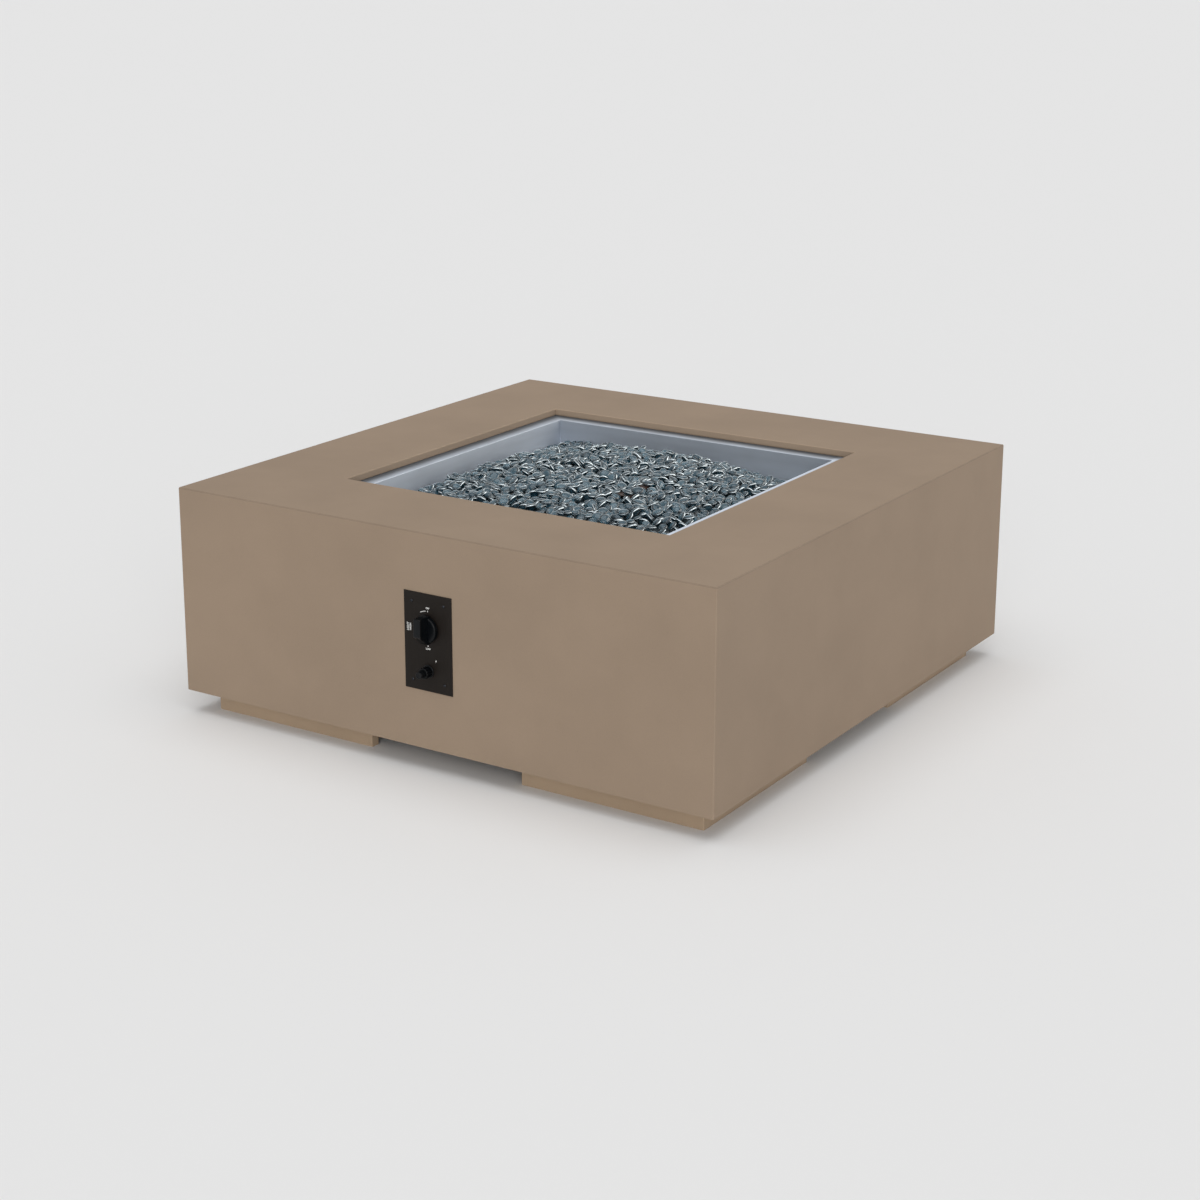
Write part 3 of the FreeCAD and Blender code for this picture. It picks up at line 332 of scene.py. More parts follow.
def brushedStainless():
    # 304 sheet with a long-grain brushed face: soft streaks along the wall and a blurred, cool reflection
    look = steelLook
    made = finish("brushedStainless", look["colour"], look["roughness"], metallic=look["metallic"], grainMm=1.6,
                  tone=0.03, roughVary=0.05, bumpMm=0.006, stretch=(0.025, 0.025, 1.0))
    tree, place, colour = partsOf(made)
    far, across, height = fromMiddle(tree, place)
    stain = clouds(tree, place, look["stainMm"], look["stainTone"], 3.0)
    # painted shadow: the flange is drawn darker where it goes under the concrete, for the shadow of the lip
    paintedLipShadow = spread(tree, far, look["lipShadowFrom"] * mm, look["lipShadowTo"] * mm, 1.0, look["lipShadowKeeps"])
    # painted shade: the upper walls and the flange are drawn darker than the walls just above the beads, to
    # even out their lighting
    paintedWallShade = spread(tree, height, look["wallLow"] * mm, look["wallHigh"] * mm, look["lowTone"], look["highTone"])
    # painted highlight: the right-hand rim is drawn brighter, as where it catches the light
    paintedRimHighlight = spread(tree, across, look["rimHighlightFrom"] * mm, look["rimHighlightTo"] * mm, 1.0, look["rimHighlightTone"])
    feed(tree, "Base Color", toned(tree, colour, stain, paintedLipShadow, paintedWallShade, paintedRimHighlight))
    return made


hoodLook = {"colour": "#5a4640", "patch": "#70645e", "patchMm": 26.0, "patchFrom": 0.52, "patchTo": 0.62}


def heatTintedSteel():
    # the same sheet after many fires: straw and brown oxide in patches over dull grey
    made = finish("heatTintedSteel", hoodLook["colour"], 0.5, metallic=0.85, grainMm=3.0, tone=0.12,
                  roughVary=0.08, bumpMm=0.03)
    tree, place, colour = partsOf(made)
    oxide = noise(tree, place, hoodLook["patchMm"], 2.0)
    patch = spread(tree, oxide, hoodLook["patchFrom"], hoodLook["patchTo"])
    feed(tree, "Base Color", blend(tree, patch, colour, linear(hoodLook["patch"])))
    return made


zincLook = {"colour": "#9ca1a3", "spangleMm": 8.0, "tones": (0.84, 1.12), "roughness": (0.36, 0.56)}


def hotDipGalvanised():
    # zinc that froze in crystals: flat spangles, each a slightly different grey
    made = finish("hotDipGalvanised", zincLook["colour"], 0.44, metallic=0.9, grainMm=2.0, tone=0.03,
                  bumpMm=0.01)
    tree, place, colour = partsOf(made)
    _, grey, shine = cells(tree, place, zincLook["spangleMm"])
    feed(tree, "Base Color", toned(tree, colour, spread(tree, grey, 0.0, 1.0, *zincLook["tones"])))
    feed(tree, "Roughness", spread(tree, shine, 0.0, 1.0, *zincLook["roughness"]))
    return made


glassLook = {"light": "#7093a3", "dark": "#1e4f62", "roughness": 0.03, "clear": 0.6, "rim": "#dde8ed",
             "rimFrom": 0.80, "rimTo": 0.84, "rimRoughness": 0.5, "edgeFrom": 0.972, "edge": 0.9,
             "bandFrom": 0.6, "bandTo": 0.9, "bandKeeps": 0.25}


def tumbledGlass():
    # soda-lime glass, melted into beads and tumbled: clear and wet-looking, each bead a different blue-grey
    look = glassLook
    made = finish("tumbledGlass", look["light"], look["roughness"], grainMm=7.0, tone=0.03, roughVary=0.02,
                  bumpMm=0.02, IOR=1.5, Transmission_Weight=look["clear"])
    tree = made.node_tree
    tint, edge = [addNode(tree, "ShaderNodeAttribute", attribute_name=name).outputs["Fac"]
                  for name in ("tint", "edge")]
    mixed = blend(tree, tint, linear(look["light"]), linear(look["dark"]))
    # painted shade: towards its edge each bead is drawn darker, a dark ring inside the pale rim, for the view
    # that a lens bends sideways into its neighbours
    paintedLensShade = spread(tree, edge, look["bandFrom"], look["bandTo"], 1.0, look["bandKeeps"])
    feed(tree, "Base Color", toned(tree, mixed, paintedLensShade))
    # each bead is a small lens whose edge gathers the light of the sky, so it shows as a pale rim
    facing = addNode(tree, "ShaderNodeLayerWeight", {"Blend": 0.5}).outputs["Facing"]
    pale = combined(tree, "MAXIMUM", spread(tree, facing, look["rimFrom"], look["rimTo"]),
                    spread(tree, edge, look["edgeFrom"], 1.0, 0.0, look["edge"]))
    gloss = addNode(tree, "ShaderNodeBsdfGlossy", {"Color": linear(look["rim"]),
                                                   "Roughness": look["rimRoughness"]})
    rimmed = addNode(tree, "ShaderNodeMixShader", {0: pale, 1: tree.nodes["Principled BSDF"].outputs["BSDF"],
                                                   2: gloss.outputs["BSDF"]})
    tree.links.new(rimmed.outputs["Shader"], tree.nodes["Material Output"].inputs["Surface"])
    return made


def deepGlass():
    # the beads below the top layers: what light is left there is dark and blue-grey
    return finish("deepGlass", "#232d32", 0.35, grainMm=9.0, tone=0.45, roughVary=0.1, bumpMm=1.5, IOR=1.5)


def orangePeelPaint():
    # powder coat, cured on steel: matt brown-black with the faint orange-peel skin of the powder
    return finish("powderCoatBrownBlack", "#191410", 0.62, grainMm=1.5, tone=0.05, roughVary=0.04, bumpMm=0.03,
                  IOR=1.42, Specular_IOR_Level=0.25)


looks = {
    "concrete": castConcrete("castConcreteSealed", concreteLook["colour"]),
    # painted light: the feet take the same concrete drawn paler, for the light that the body's overhang keeps
    # from them
    "feetPaintedLight": castConcrete("castConcreteFeetPaintedLight", concreteLook["footPaintedLightColour"]),
    "stainless": brushedStainless(),
    "hood": heatTintedSteel(),
    "galvanised": hotDipGalvanised(),
    "glass": tumbledGlass(),
    "deep": deepGlass(),
    "paint": orangePeelPaint(),
    # woven glass tape, stained tan: dull, with a fine thread, so the joint hardly shows under the concrete
    "gasket": finish("wovenGlassTape", "#a08c77", 0.85, grainMm=1.0, tone=0.2, bumpMm=0.15),
    # bright zinc plate: cool silver with a slight haze
    "zinc": finish("zincPlate", "#b4b8bb", 0.34, metallic=1.0, grainMm=1.2, tone=0.05, bumpMm=0.01),
    # brass, turned on a lathe: warm yellow with fine tool marks
    "brass": finish("machinedBrass", "#c2a15c", 0.28, metallic=1.0, grainMm=0.8, tone=0.05, bumpMm=0.012),
    # grey iron cast in sand: dark and pebbly
    "iron": finish("sandCastIron", "#3c3d3f", 0.72, metallic=0.6, grainMm=1.4, tone=0.14, bumpMm=0.25),
    # aluminium, die cast and shot blasted: pale grey with a dull, even glitter
    "aluminium": finish("dieCastAluminium", "#a9abad", 0.5, metallic=0.95, grainMm=0.9, tone=0.06,
                        bumpMm=0.05),
    # thin stainless tube, rolled into rings: bright on each crest
    "hose": finish("corrugatedStainless", "#a7abae", 0.3, metallic=1.0, grainMm=2.0, tone=0.05, bumpMm=0.01),
    # drawn spring wire: smooth, slightly oily grey
    "spring": finish("springWire", "#8b8e92", 0.3, metallic=1.0, grainMm=0.8, tone=0.05, bumpMm=0.008),
    # black oxide on steel screws: deep black with an oily sheen
    "screw": finish("blackOxide", "#3a3c40", 0.2, metallic=1.0, grainMm=0.8, tone=0.1, bumpMm=0.01),
    # phenolic, moulded hot: hard black with a satin skin
    "knob": finish("mouldedPhenolic", "#05080b", 0.34, grainMm=1.0, tone=0.06, bumpMm=0.012, IOR=1.5,
                   Specular_IOR_Level=0.2),
    # ABS, moulded in a lightly blasted tool: soft black
    "plastic": finish("mouldedAbs", "#06080b", 0.36, grainMm=0.8, tone=0.06, bumpMm=0.02, IOR=1.5,
                      Specular_IOR_Level=0.2),
    # shrink sleeve of a plain cell: dark and glossy
    "battery": finish("shrinkSleeve", "#2b3038", 0.25, grainMm=4.0, tone=0.05, bumpMm=0.02, IOR=1.5),
    # unglazed alumina: chalk white with a fine tooth
    "ceramic": finish("unglazedAlumina", "#e6e1d8", 0.6, grainMm=0.7, tone=0.03, bumpMm=0.02, IOR=1.7),
    # copper, drawn through a die and left bare: salmon with brown tarnish
    "copper": finish("drawnCopper", "#b5765a", 0.36, metallic=1.0, grainMm=9.0, tone=0.16, bumpMm=0.008),
    # silicone sleeve over glass braid: ivory and waxy
    "silicone": finish("siliconeSleeve", "#b9b3a4", 0.55, grainMm=1.1, tone=0.08, bumpMm=0.06, IOR=1.42),
    # nylon clips, moulded: black, slightly translucent looking at the edges
    "nylon": finish("mouldedNylon", "#202122", 0.42, grainMm=1.0, tone=0.06, bumpMm=0.02, IOR=1.53),
    # screen ink, one coat: flat white that lets a little of the paint through
    "ink": finish("screenInk", "#d9d9d6", 0.6, grainMm=0.6, tone=0.06, bumpMm=0.01),
}
print("materials made:", len(looks))


# CAD nodes that stay, with their finishes

nodeLooks = {
    "concrete": ["shell"],
    "feetPaintedLight": ["foot_front_left", "foot_front_right", "foot_back_left", "foot_back_right"],
    "stainless": ["burner_pan", "burner", "electrode_rod"],
    "galvanised": ["inlet_bracket", "control_box"],
    "gasket": ["pan_gasket"],
    "zinc": ["valve_stem", "igniter_nut"],
    "brass": ["valve_plunger", "panel_inserts"],
    "iron": ["burner_nipple"],
    "battery": ["igniter_battery"],
    "ceramic": ["spark_ceramic"],
    "copper": ["thermocouple", "thermocouple_lead"],
    "silicone": ["ignition_lead"],
}
for look, names in nodeLooks.items():
    for name in names:
        nodes[name].data.materials.clear()
        nodes[name].data.materials.append(looks[look])

# Pressed, cut and turned parts whose edges are broken, as a file or a die leaves them: the look, the slot, how
# much is broken off in mm, and the nodes

brokenEdges = [
    ("paint", "panel_black", 0.35, ["control_panel"]),
    ("hood", "hood_steel", 0.4, ["igniter_hood"]),
    ("galvanised", "galvanised_steel", 1.2,
     ["post_front_left", "post_front_right", "post_back_left", "post_back_right", "bearer_front", "bearer_back",
      "crossbar_left", "crossbar_right"]),
    ("zinc", "zinc_steel", 0.5, ["foot_bolts"]),
    ("zinc", "zinc_steel", 0.4, ["base_bolts", "frame_bolts"]),
    ("zinc", "zinc_steel", 0.25, ["pan_screws", "valve_screws", "box_screws"]),
    ("zinc", "zinc_steel", 0.5, ["nipple_locknut"]),
    ("stainless", "stainless", 0.4, ["burner_feet"]),
    ("galvanised", "galvanised_steel", 0.3, ["valve_bracket"]),
    ("iron", "cast_iron_mixer", 0.8, ["air_mixer"]),
    ("aluminium", "valve_aluminium", 0.9, ["safety_valve"]),
    ("brass", "brass", 0.6, ["orifice_elbow", "inlet_elbow"]),
    ("brass", "brass", 0.4, ["inlet_union", "union_locknut"]),
    ("brass", "brass", 0.5, ["burner_hose_nuts", "supply_hose_nuts"]),
    ("brass", "brass", 0.3, ["thermocouple_nut"]),
    ("nylon", "clip_plastic", 0.5, ["hose_clips"]),
]
edgeRule = {"mergeMm": 0.004, "flat": 1.0, "corner": 50.0, "segments": 2, "profile": 0.6}


def edgeBroken(name, breakMm, look):
    shape = bmesh.new()
    shape.from_mesh(nodes[name].data)
    bmesh.ops.remove_doubles(shape, verts=shape.verts, dist=edgeRule["mergeMm"] * mm)
    bmesh.ops.dissolve_limit(shape, angle_limit=math.radians(edgeRule["flat"]), verts=shape.verts,
                             edges=shape.edges)
    corners = [e for e in shape.edges
               if len(e.link_faces) == 2 and e.calc_face_angle(0) > math.radians(edgeRule["corner"])]
    bmesh.ops.bevel(shape, geom=corners, offset=breakMm * mm, segments=edgeRule["segments"],
                    profile=edgeRule["profile"], affect="EDGES", clamp_overlap=True)
    bmesh.ops.triangulate(shape, faces=[f for f in shape.faces if len(f.verts) > 4])
    mesh = bpy.data.meshes.new(name + "_edged")
    shape.to_mesh(mesh)
    shape.free()
    placePiece(name + "_edged", mesh, nodes[name]["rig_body"], look, stands=(name,))
    sharpen(mesh)


for look, slot, breakMm, names in brokenEdges:
    for name in names:
        edgeBroken(name, breakMm, look)
print("edges broken:", sum(len(row[3]) for row in brokenEdges))


# Fire glass: beads dropped one by one on a dark bed, each in the lowest of a few places

beads = {"halfMm": 412.4, "cellMm": 3.0, "smallMm": 21.0, "largeMm": 32.0, "thin": 0.40, "thick": 0.54,
         "narrow": 0.78, "lean": 64.0, "dents": 0.04, "waves": 1.7, "shapes": 12, "around": 18,
         "rings": (26, 50, 68, 82, 96, 112, 130, 154), "depthMm": 20.0, "proudMm": 3.0, "count": 2700,
         "tries": 18, "misses": 700, "seed": 11}
# how a bead beds down: the share of its radius that touches the others, how much the highest of them counts,
# and the room that it needs, its middle and its dome, as shares of its half height
bedding = {"touch": 0.62, "highest": 0.6, "room": 1.7, "middle": 0.85, "dome": 0.9}
# where the heap stands a little higher or lower along the far walls: x, y, spread and rise
shaped = [(-400.0, 405.0, 50.0, 14.0), (-345.0, 400.0, 60.0, 13.0), (-385.0, 250.0, 90.0, -7.0),
          (240.0, 385.0, 90.0, -15.0)]
# the hood under the beads: its corners, the beads over its roof, a lower place beside it, and a strip of its
# edge that stays bare, as in the photograph
hood = {"low": (88.0, -132.0), "high": (136.0, -16.0), "roofMm": 534.0, "overMm": 9.0, "plateauMm": 540.0,
        "beside": (133.0, 160.0, -78.0, -22.0), "besideMm": 534.0, "bareX": 129.0, "bareY": (-62.0, -24.0),
        "bareMm": 1.0, "bareShare": 0.6}
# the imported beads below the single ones: cells to a step, lumps up and down, and the pan's floor
bed = {"step": 3, "lumpMm": 4, "floorMm": 424.0}


def bedHeights():
    # height of the heap in mm at the middle of each cell, read from the CAD heap
    mesh = nodes["fire_glass"].data
    heap = BVHTree.FromPolygons([v.co for v in mesh.vertices], [tuple(p.vertices) for p in mesh.polygons])
    count = int(2 * beads["halfMm"] / beads["cellMm"])
    middles = (np.arange(count) + 0.5) * beads["cellMm"] - count * beads["cellMm"] / 2
    heights = np.zeros((count, count))
    for i, x in enumerate(middles):
        for j, y in enumerate(middles):
            hit = heap.ray_cast(Vector((x * mm, y * mm, 1.0)), Vector((0, 0, -1)))[0]
            heights[i, j] = hit.z / mm if hit is not None else 0
    xs, ys = np.meshgrid(middles, middles, indexing="ij")
    for x, y, wide, rise in shaped:
        heights += rise * np.exp(-((xs - x) ** 2 + (ys - y) ** 2) / (2 * wide ** 2))
    over = (xs > hood["low"][0]) & (xs < hood["high"][0]) & (ys > hood["low"][1]) & (ys < hood["high"][1])
    heights[over] = hood["plateauMm"]
    return middles, heights, xs, ys, over


def beadShapes(random):
    # lenses of unit radius with soft dents, each a little different, and how near each point is to the edge
    turns = circle(beads["around"])
    points = [(0, 0, 1)]
    for tilt in np.radians(beads["rings"]):
        points += [(math.sin(tilt) * math.cos(a), math.sin(tilt) * math.sin(a), math.cos(tilt)) for a in turns]
    points = np.array(points + [(0, 0, -1)])
    edge = np.hypot(points[:, 0], points[:, 1])
    shapes = []
    for _ in range(beads["shapes"]):
        waves = random.normal(size=(4, 3)) * beads["waves"]
        shifts = random.uniform(0, fullTurn, 4)
        dents = sum(np.sin(points @ wave + shift) for wave, shift in zip(waves, shifts)) * beads["dents"]
        shapes.append(points * (1 + dents)[:, None])
    last, ring = len(points) - 1, beads["around"]
    faces = [(0, 1 + i, 1 + (i + 1) % ring) for i in range(ring)]
    for row in range(len(beads["rings"]) - 1):
        first = 1 + row * ring
        for i in range(ring):
            a, b = first + i, first + (i + 1) % ring
            faces += [(a, a + ring, b + ring), (a, b + ring, b)]
    faces += [(last, last - ring + (i + 1) % ring, last - ring + i) for i in range(ring)]
    return np.array(shapes), np.array(faces), edge


def dropBeads():
    random = np.random.default_rng(beads["seed"])
    middles, heap, xs, ys, over = bedHeights()
    shapes, faces, edge = beadShapes(random)
    surface = heap - beads["depthMm"]
    surface[over] = hood["roofMm"]
    limit = heap.copy()
    limit[over] = hood["roofMm"] + hood["overMm"]
    x0, x1, y0, y1 = hood["beside"]
    limit[(xs > x0) & (xs < x1) & (ys > y0) & (ys < y1)] = hood["besideMm"]
    cell, first, half = beads["cellMm"], middles[0], beads["halfMm"]
    placed, misses = [], 0
    while len(placed) < beads["count"] and misses < beads["misses"]:
        radius = random.uniform(beads["smallMm"], beads["largeMm"]) / 2
        thick = radius * random.uniform(beads["thin"], beads["thick"])
        tilt = math.acos(random.uniform(math.cos(math.radians(beads["lean"])), 1))
        high = math.hypot(thick * math.cos(tilt), radius * math.sin(tilt))
        best = None
        for _ in range(beads["tries"]):
            x, y = random.uniform(radius - half, half - radius, 2)
            i, j = int((x - first) / cell + 0.5), int((y - first) / cell + 0.5)
            reach = max(1, int(radius * bedding["touch"] / cell))
            window = surface[max(i - reach, 0):i + reach + 1, max(j - reach, 0):j + reach + 1]
            rest = window.max() * bedding["highest"] + window.mean() * (1 - bedding["highest"])
            room = limit[i, j] + beads["proudMm"] - (rest + bedding["room"] * high)
            nearEdge = abs(x - hood["bareX"]) < hood["bareShare"] * radius + hood["bareMm"] / 2
            if nearEdge and hood["bareY"][0] < y < hood["bareY"][1]:
                room = -1
            if best is None or room > best[0]:
                best = (room, x, y, i, j, rest)
        room, x, y, i, j, rest = best
        if room < 0:
            misses += 1
            continue
        misses = 0
        z = rest + bedding["middle"] * high
        reach = int(radius / cell) + 1
        i0, j0 = max(i - reach, 0), max(j - reach, 0)
        patch = (slice(i0, i + reach + 1), slice(j0, j + reach + 1))
        away = ((xs[patch] - x) ** 2 + (ys[patch] - y) ** 2) / radius ** 2
        top = z + high * np.sqrt(np.clip(1 - away, 0, 1)) * bedding["dome"]
        surface[patch] = np.where(away < 1, np.maximum(surface[patch], top), surface[patch])
        turn = Matrix.Rotation(random.uniform(0, fullTurn), 3, "Z")
        lean = Matrix.Rotation(tilt, 3, "X")
        spin = Matrix.Rotation(random.uniform(0, fullTurn), 3, "Z")
        size = Matrix.Diagonal((radius, radius * random.uniform(beads["narrow"], 1.0), thick))
        placed.append((x, y, z, np.array(turn @ lean @ spin @ size), random.integers(beads["shapes"]),
                       random.uniform()))
    print("beads dropped:", len(placed))
    return placed, shapes, faces, edge, middles, heap, over


def beadMesh(name, placed, shapes, faces, edge):
    # every bead of one quarter in one mesh, with a tint for each bead
    count = len(shapes[0])
    verts = np.concatenate([shapes[kind] @ turn.T + (x, y, z) for x, y, z, turn, kind, _ in placed]) * mm
    index = np.concatenate([faces + i * count for i in range(len(placed))])
    mesh = bpy.data.meshes.new(name)
    mesh.vertices.add(len(verts))
    mesh.vertices.foreach_set("co", verts.astype(np.float32).ravel())
    mesh.loops.add(index.size)
    mesh.loops.foreach_set("vertex_index", index.astype(np.int32).ravel())
    mesh.polygons.add(len(index))
    mesh.polygons.foreach_set("loop_start", np.arange(0, index.size, 3, dtype=np.int32))
    mesh.update(calc_edges=True)
    tints = mesh.attributes.new("tint", "FLOAT", "POINT")
    tints.data.foreach_set("value", np.repeat([bead[5] for bead in placed], count).astype(np.float32))
    edges = mesh.attributes.new("edge", "FLOAT", "POINT")
    edges.data.foreach_set("value", np.tile(edge, len(placed)).astype(np.float32))
    return mesh


placed, shapes, faces, edge, middles, heap, over = dropBeads()
counts = {}
quarters = {"front_left": (-1, -1), "front_right": (1, -1), "back_left": (-1, 1), "back_right": (1, 1)}
for quarter, (sideX, sideY) in quarters.items():
    mine = [bead for bead in placed if bead[0] * sideX >= 0 and bead[1] * sideY > 0]
    counts[quarter] = len(mine)
    name = "glass_beads_" + quarter
    placePiece(name, beadMesh(name, mine, shapes, faces, edge), "table", "glass")
print("beads in each quarter:", counts, "faces of one bead:", len(faces))


def glassBed():
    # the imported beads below: a lumpy surface with a skirt down to the pan floor, open over the hood
    step, lump = bed["step"], bed["lumpMm"]
    random = np.random.default_rng(beads["seed"] + 1)
    places = middles[::step]
    count = len(places)
    tops = heap[::step, ::step] - beads["depthMm"] + random.uniform(-lump, lump, (count, count))
    verts = [(x * mm, y * mm, tops[i, j] * mm) for i, x in enumerate(places) for j, y in enumerate(places)]
    covered = over[::step, ::step]
    sheet = []
    for i in range(count - 1):
        for j in range(count - 1):
            if not covered[i:i + 2, j:j + 2].any():
                a = i * count + j
                sheet.append((a, a + count, a + count + 1, a + 1))
    edge = [(i, 0) for i in range(count)] + [(count - 1, j) for j in range(1, count)]
    edge += [(i, count - 1) for i in range(count - 2, -1, -1)] + [(0, j) for j in range(count - 2, 0, -1)]
    start = len(verts)
    verts += [(places[i] * mm, places[j] * mm, bed["floorMm"] * mm) for i, j in edge]
    for k, (i, j) in enumerate(edge):
        after = (k + 1) % len(edge)
        iNext, jNext = edge[after]
        sheet.append((i * count + j, start + k, start + after, iNext * count + jNext))
    return verts, sheet


newPiece("glass_bed", glassBed(), "table", "deep", stands=("fire_glass",))


# Where the controls sit: the knob is so far below the panel's top edge, and the igniter so far above its foot

panel = {"knobDrop": 81.0, "igniterUp": 48.0}
panelLow, panelHigh = boxOf("control_panel")
face = panelLow[1]
knobAxis = (0.0, panelHigh[2] - panel["knobDrop"])
igniterAxis = (0.0, panelLow[2] + panel["igniterUp"])

# Knob: a turned skirt and a bar grip, nearly square at its upper end and sloping to the skirt below

knob = {"base": face - 4.0, "high": 38.0, "hub": 10.0, "half": 33.0, "wide": 21.0, "tipWide": 19.5,
        "tipUp": 32.0, "tipDown": 10.0, "corner": 2.2, "waist": 1.2, "around": 96,
        "skirt": [(29.6, 0), (30.6, 0.3), (31.0, 1.1), (30.8, 3.0), (30.2, 7.0), (29.8, 8.7), (29.2, 9.6),
                  (28.2, 9.95), (26.5, 10.0)],
        "grip": [(0.0, 0.6), (0.6, 0), (10.0, 0), (18.0, 0), (26.0, 0), (36.0, 0), (36.8, 0.25), (37.5, 0.75),
                 (37.9, 1.4), (38.0, 2.0)]}


def gripRing(side, low, up, corner, depth, count=8):
    # a rectangle with round corners, upright, this far in front of the knob's base
    ring = []
    for k, (sx, sz) in enumerate(((1, 1), (-1, 1), (-1, -1), (1, -1))):
        for i in range(count):
            a = math.pi / 2 * (k + i / (count - 1))
            x = sx * (side - corner) + corner * math.cos(a)
            z = (up if sz > 0 else low) - sz * corner + corner * math.sin(a)
            ring.append(((knobAxis[0] + x) * mm, (knob["base"] - depth) * mm, (knobAxis[1] + z) * mm))
    return ring


def knobShape():
    # the skirt is radius and depth; each ring of the grip is a depth and how far it is drawn in there
    base, high, hub = knob["base"], knob["high"], knob["hub"]
    skirt = turned([(radius, base - depth) for radius, depth in knob["skirt"]], knobAxis, knob["around"])
    rings = []
    for depth, inset in knob["grip"]:
        share = max(depth - hub, 0) / (high - hub)
        half = (knob["wide"] + (knob["tipWide"] - knob["wide"]) * share) / 2
        half -= knob["waist"] * math.sin(math.pi * share) + inset
        low = -knob["half"] + (knob["half"] - knob["tipDown"]) * share + inset
        up = knob["half"] + (knob["tipUp"] - knob["half"]) * share - inset
        rings.append(gripRing(half, low, up, knob["corner"], depth))
    return joined(skirt, skin(rings))


newPiece("knob_grip", knobShape(), "knob", "knob", stands=("control_knob",), crisp=40)

# Igniter: a threaded barrel, a bezel, a fluted cap and a button with a soft dish in its face

igniter = {"front": face - 22.0, "bezel": face - 3.0, "back": face + 52.8, "terminal": face + 57.8,
           "button": (face - 38.0, face - 12.0), "buttonRadius": 8.5, "bore": 8.55, "cellBore": 7.5,
           "springSeat": face - 2.0, "thread": (10.55, 11.0, 1.5), "threadFrom": 2.6, "threadTo": 24.0,
           "endWall": 3.0, "cap": 13.0, "flutes": 12, "flute": 1.6, "perFlute": 12,
           "nose": [(3.0, 0), (1.6, 0), (0.7, 0.4), (0.2, 1.0), (0, 1.8)],
           "dish": [(0.3, 0.7), (0.9, 0.15), (1.7, 0), (3.0, 0.3), (6.0, 0.6), (7.9, 0.65)]}


def flutedCap():
    # the cap that the fingers turn: rounded at the front, with round grooves along it
    front, back = igniter["front"], igniter["bezel"]
    per, cap = igniter["perFlute"], igniter["cap"]
    points = igniter["flutes"] * per
    nose = [(inset, front + deep) for inset, deep in igniter["nose"]]
    rings = []
    for inset, y in nose + [(0, back - 0.4), (0.4, back)]:
        radii = []
        for i in range(points):
            across = cap * math.sin((i % per - per / 2) * fullTurn / points)
            groove = math.sqrt(max(igniter["flute"] ** 2 - across ** 2, 0))
            radii.append(cap - inset - groove * max(1 - inset / 2, 0))
        rings.append(ringAbout(igniterAxis, y, radii))
    return skin(rings, closeStart=False, closeEnd=False)


def igniterBarrel():
    front, lip, back, end = [igniter[place] for place in ("front", "bezel", "back", "terminal")]
    collar = [(igniter["bore"], front + 0.6), (9.2, front), (10.2, front)]
    outside = [(12.4, lip), (14.0, lip + 0.25), (14.8, lip + 0.9), (15.0, lip + 1.7), (15.0, face),
               (11.0, face)]
    root, crest, pitch = igniter["thread"]
    y = face + igniter["threadFrom"]
    while y < back - igniter["threadTo"]:
        outside += [(crest, y), (root, y + pitch * 0.4), (root, y + pitch * 0.6), (crest, y + pitch)]
        y += pitch
    outside += [(crest, back - 1.0), (10.0, back), (3.6, back), (3.0, back + 0.4), (3.0, end - 0.4),
                (2.6, end)]
    inside = [(igniter["cellBore"], back - igniter["endWall"]), (igniter["cellBore"], igniter["springSeat"]),
              (igniter["bore"], igniter["springSeat"]), (igniter["bore"], front + 0.6)]
    return joined(turned(outside, igniterAxis, closeStart=False),
                  turned(collar, igniterAxis, closeStart=False, closeEnd=False), flutedCap(),
                  turned(inside, igniterAxis, closeEnd=False))


def buttonShape():
    # each step of the dish is how far in from the rim and how far back from the front
    (front, back), radius = igniter["button"], igniter["buttonRadius"]
    profile = [(radius - 0.6, back), (radius, back - 0.6), (radius, front + 1.6)]
    profile += [(radius - inset, front + deep) for inset, deep in igniter["dish"]]
    return turned(profile, igniterAxis)


newPiece("igniter_barrel", igniterBarrel(), "table", "plastic", stands=("igniter_body",),
         crisp=35)
newPiece("igniter_cap", buttonShape(), "igniter_button", "plastic",
         stands=("igniter_button",), crisp=40)

# Panel screws: button heads with a hexagon socket

screw = {"fromSide": 21.5, "fromEnd": 22.0, "socket": 1.25, "chamfer": 1.06, "high": 2.0, "deep": 1.3,
         "shank": 2.0, "long": 14.0, "around": 36,
         "head": [(3.3, 0), (3.5, 0.25), (3.3, 0.9), (2.8, 1.5), (2.1, 1.9), (1.6, 2.0)]}


def socketScrew(centre):
    # the head is radius and height over the panel; the socket's six flats are cut into it
    count, top = screw["around"], face - screw["high"]
    rings = [(screw["shank"], face + screw["long"]), (screw["shank"], face)]
    rings += [(radius, face - height) for radius, height in screw["head"]]
    points = [ringAbout(centre, y, [radius] * count) for radius, y in rings]
    flats = [1 / math.cos(math.radians(i * 360 / count % 60 - 30)) for i in range(count)]
    for grow, y in ((screw["chamfer"], top), (1.0, top + 0.1), (1.0, top + screw["deep"])):
        points.append(ringAbout(centre, y, [screw["socket"] * grow * flat for flat in flats]))
    return skin(points)


places = [(x, z) for x in (panelLow[0] + screw["fromSide"], panelHigh[0] - screw["fromSide"])
          for z in (panelLow[2] + screw["fromEnd"], panelHigh[2] - screw["fromEnd"])]
newPiece("socket_screws", joined(*[socketScrew(place) for place in places]), "table", "screw",
         stands=("panel_screws",), crisp=30)
print("controls made")

# Printed marks on the panel: OFF at the top, LIGHT and HIGH at nine o'clock, LOW at the bottom of the dial

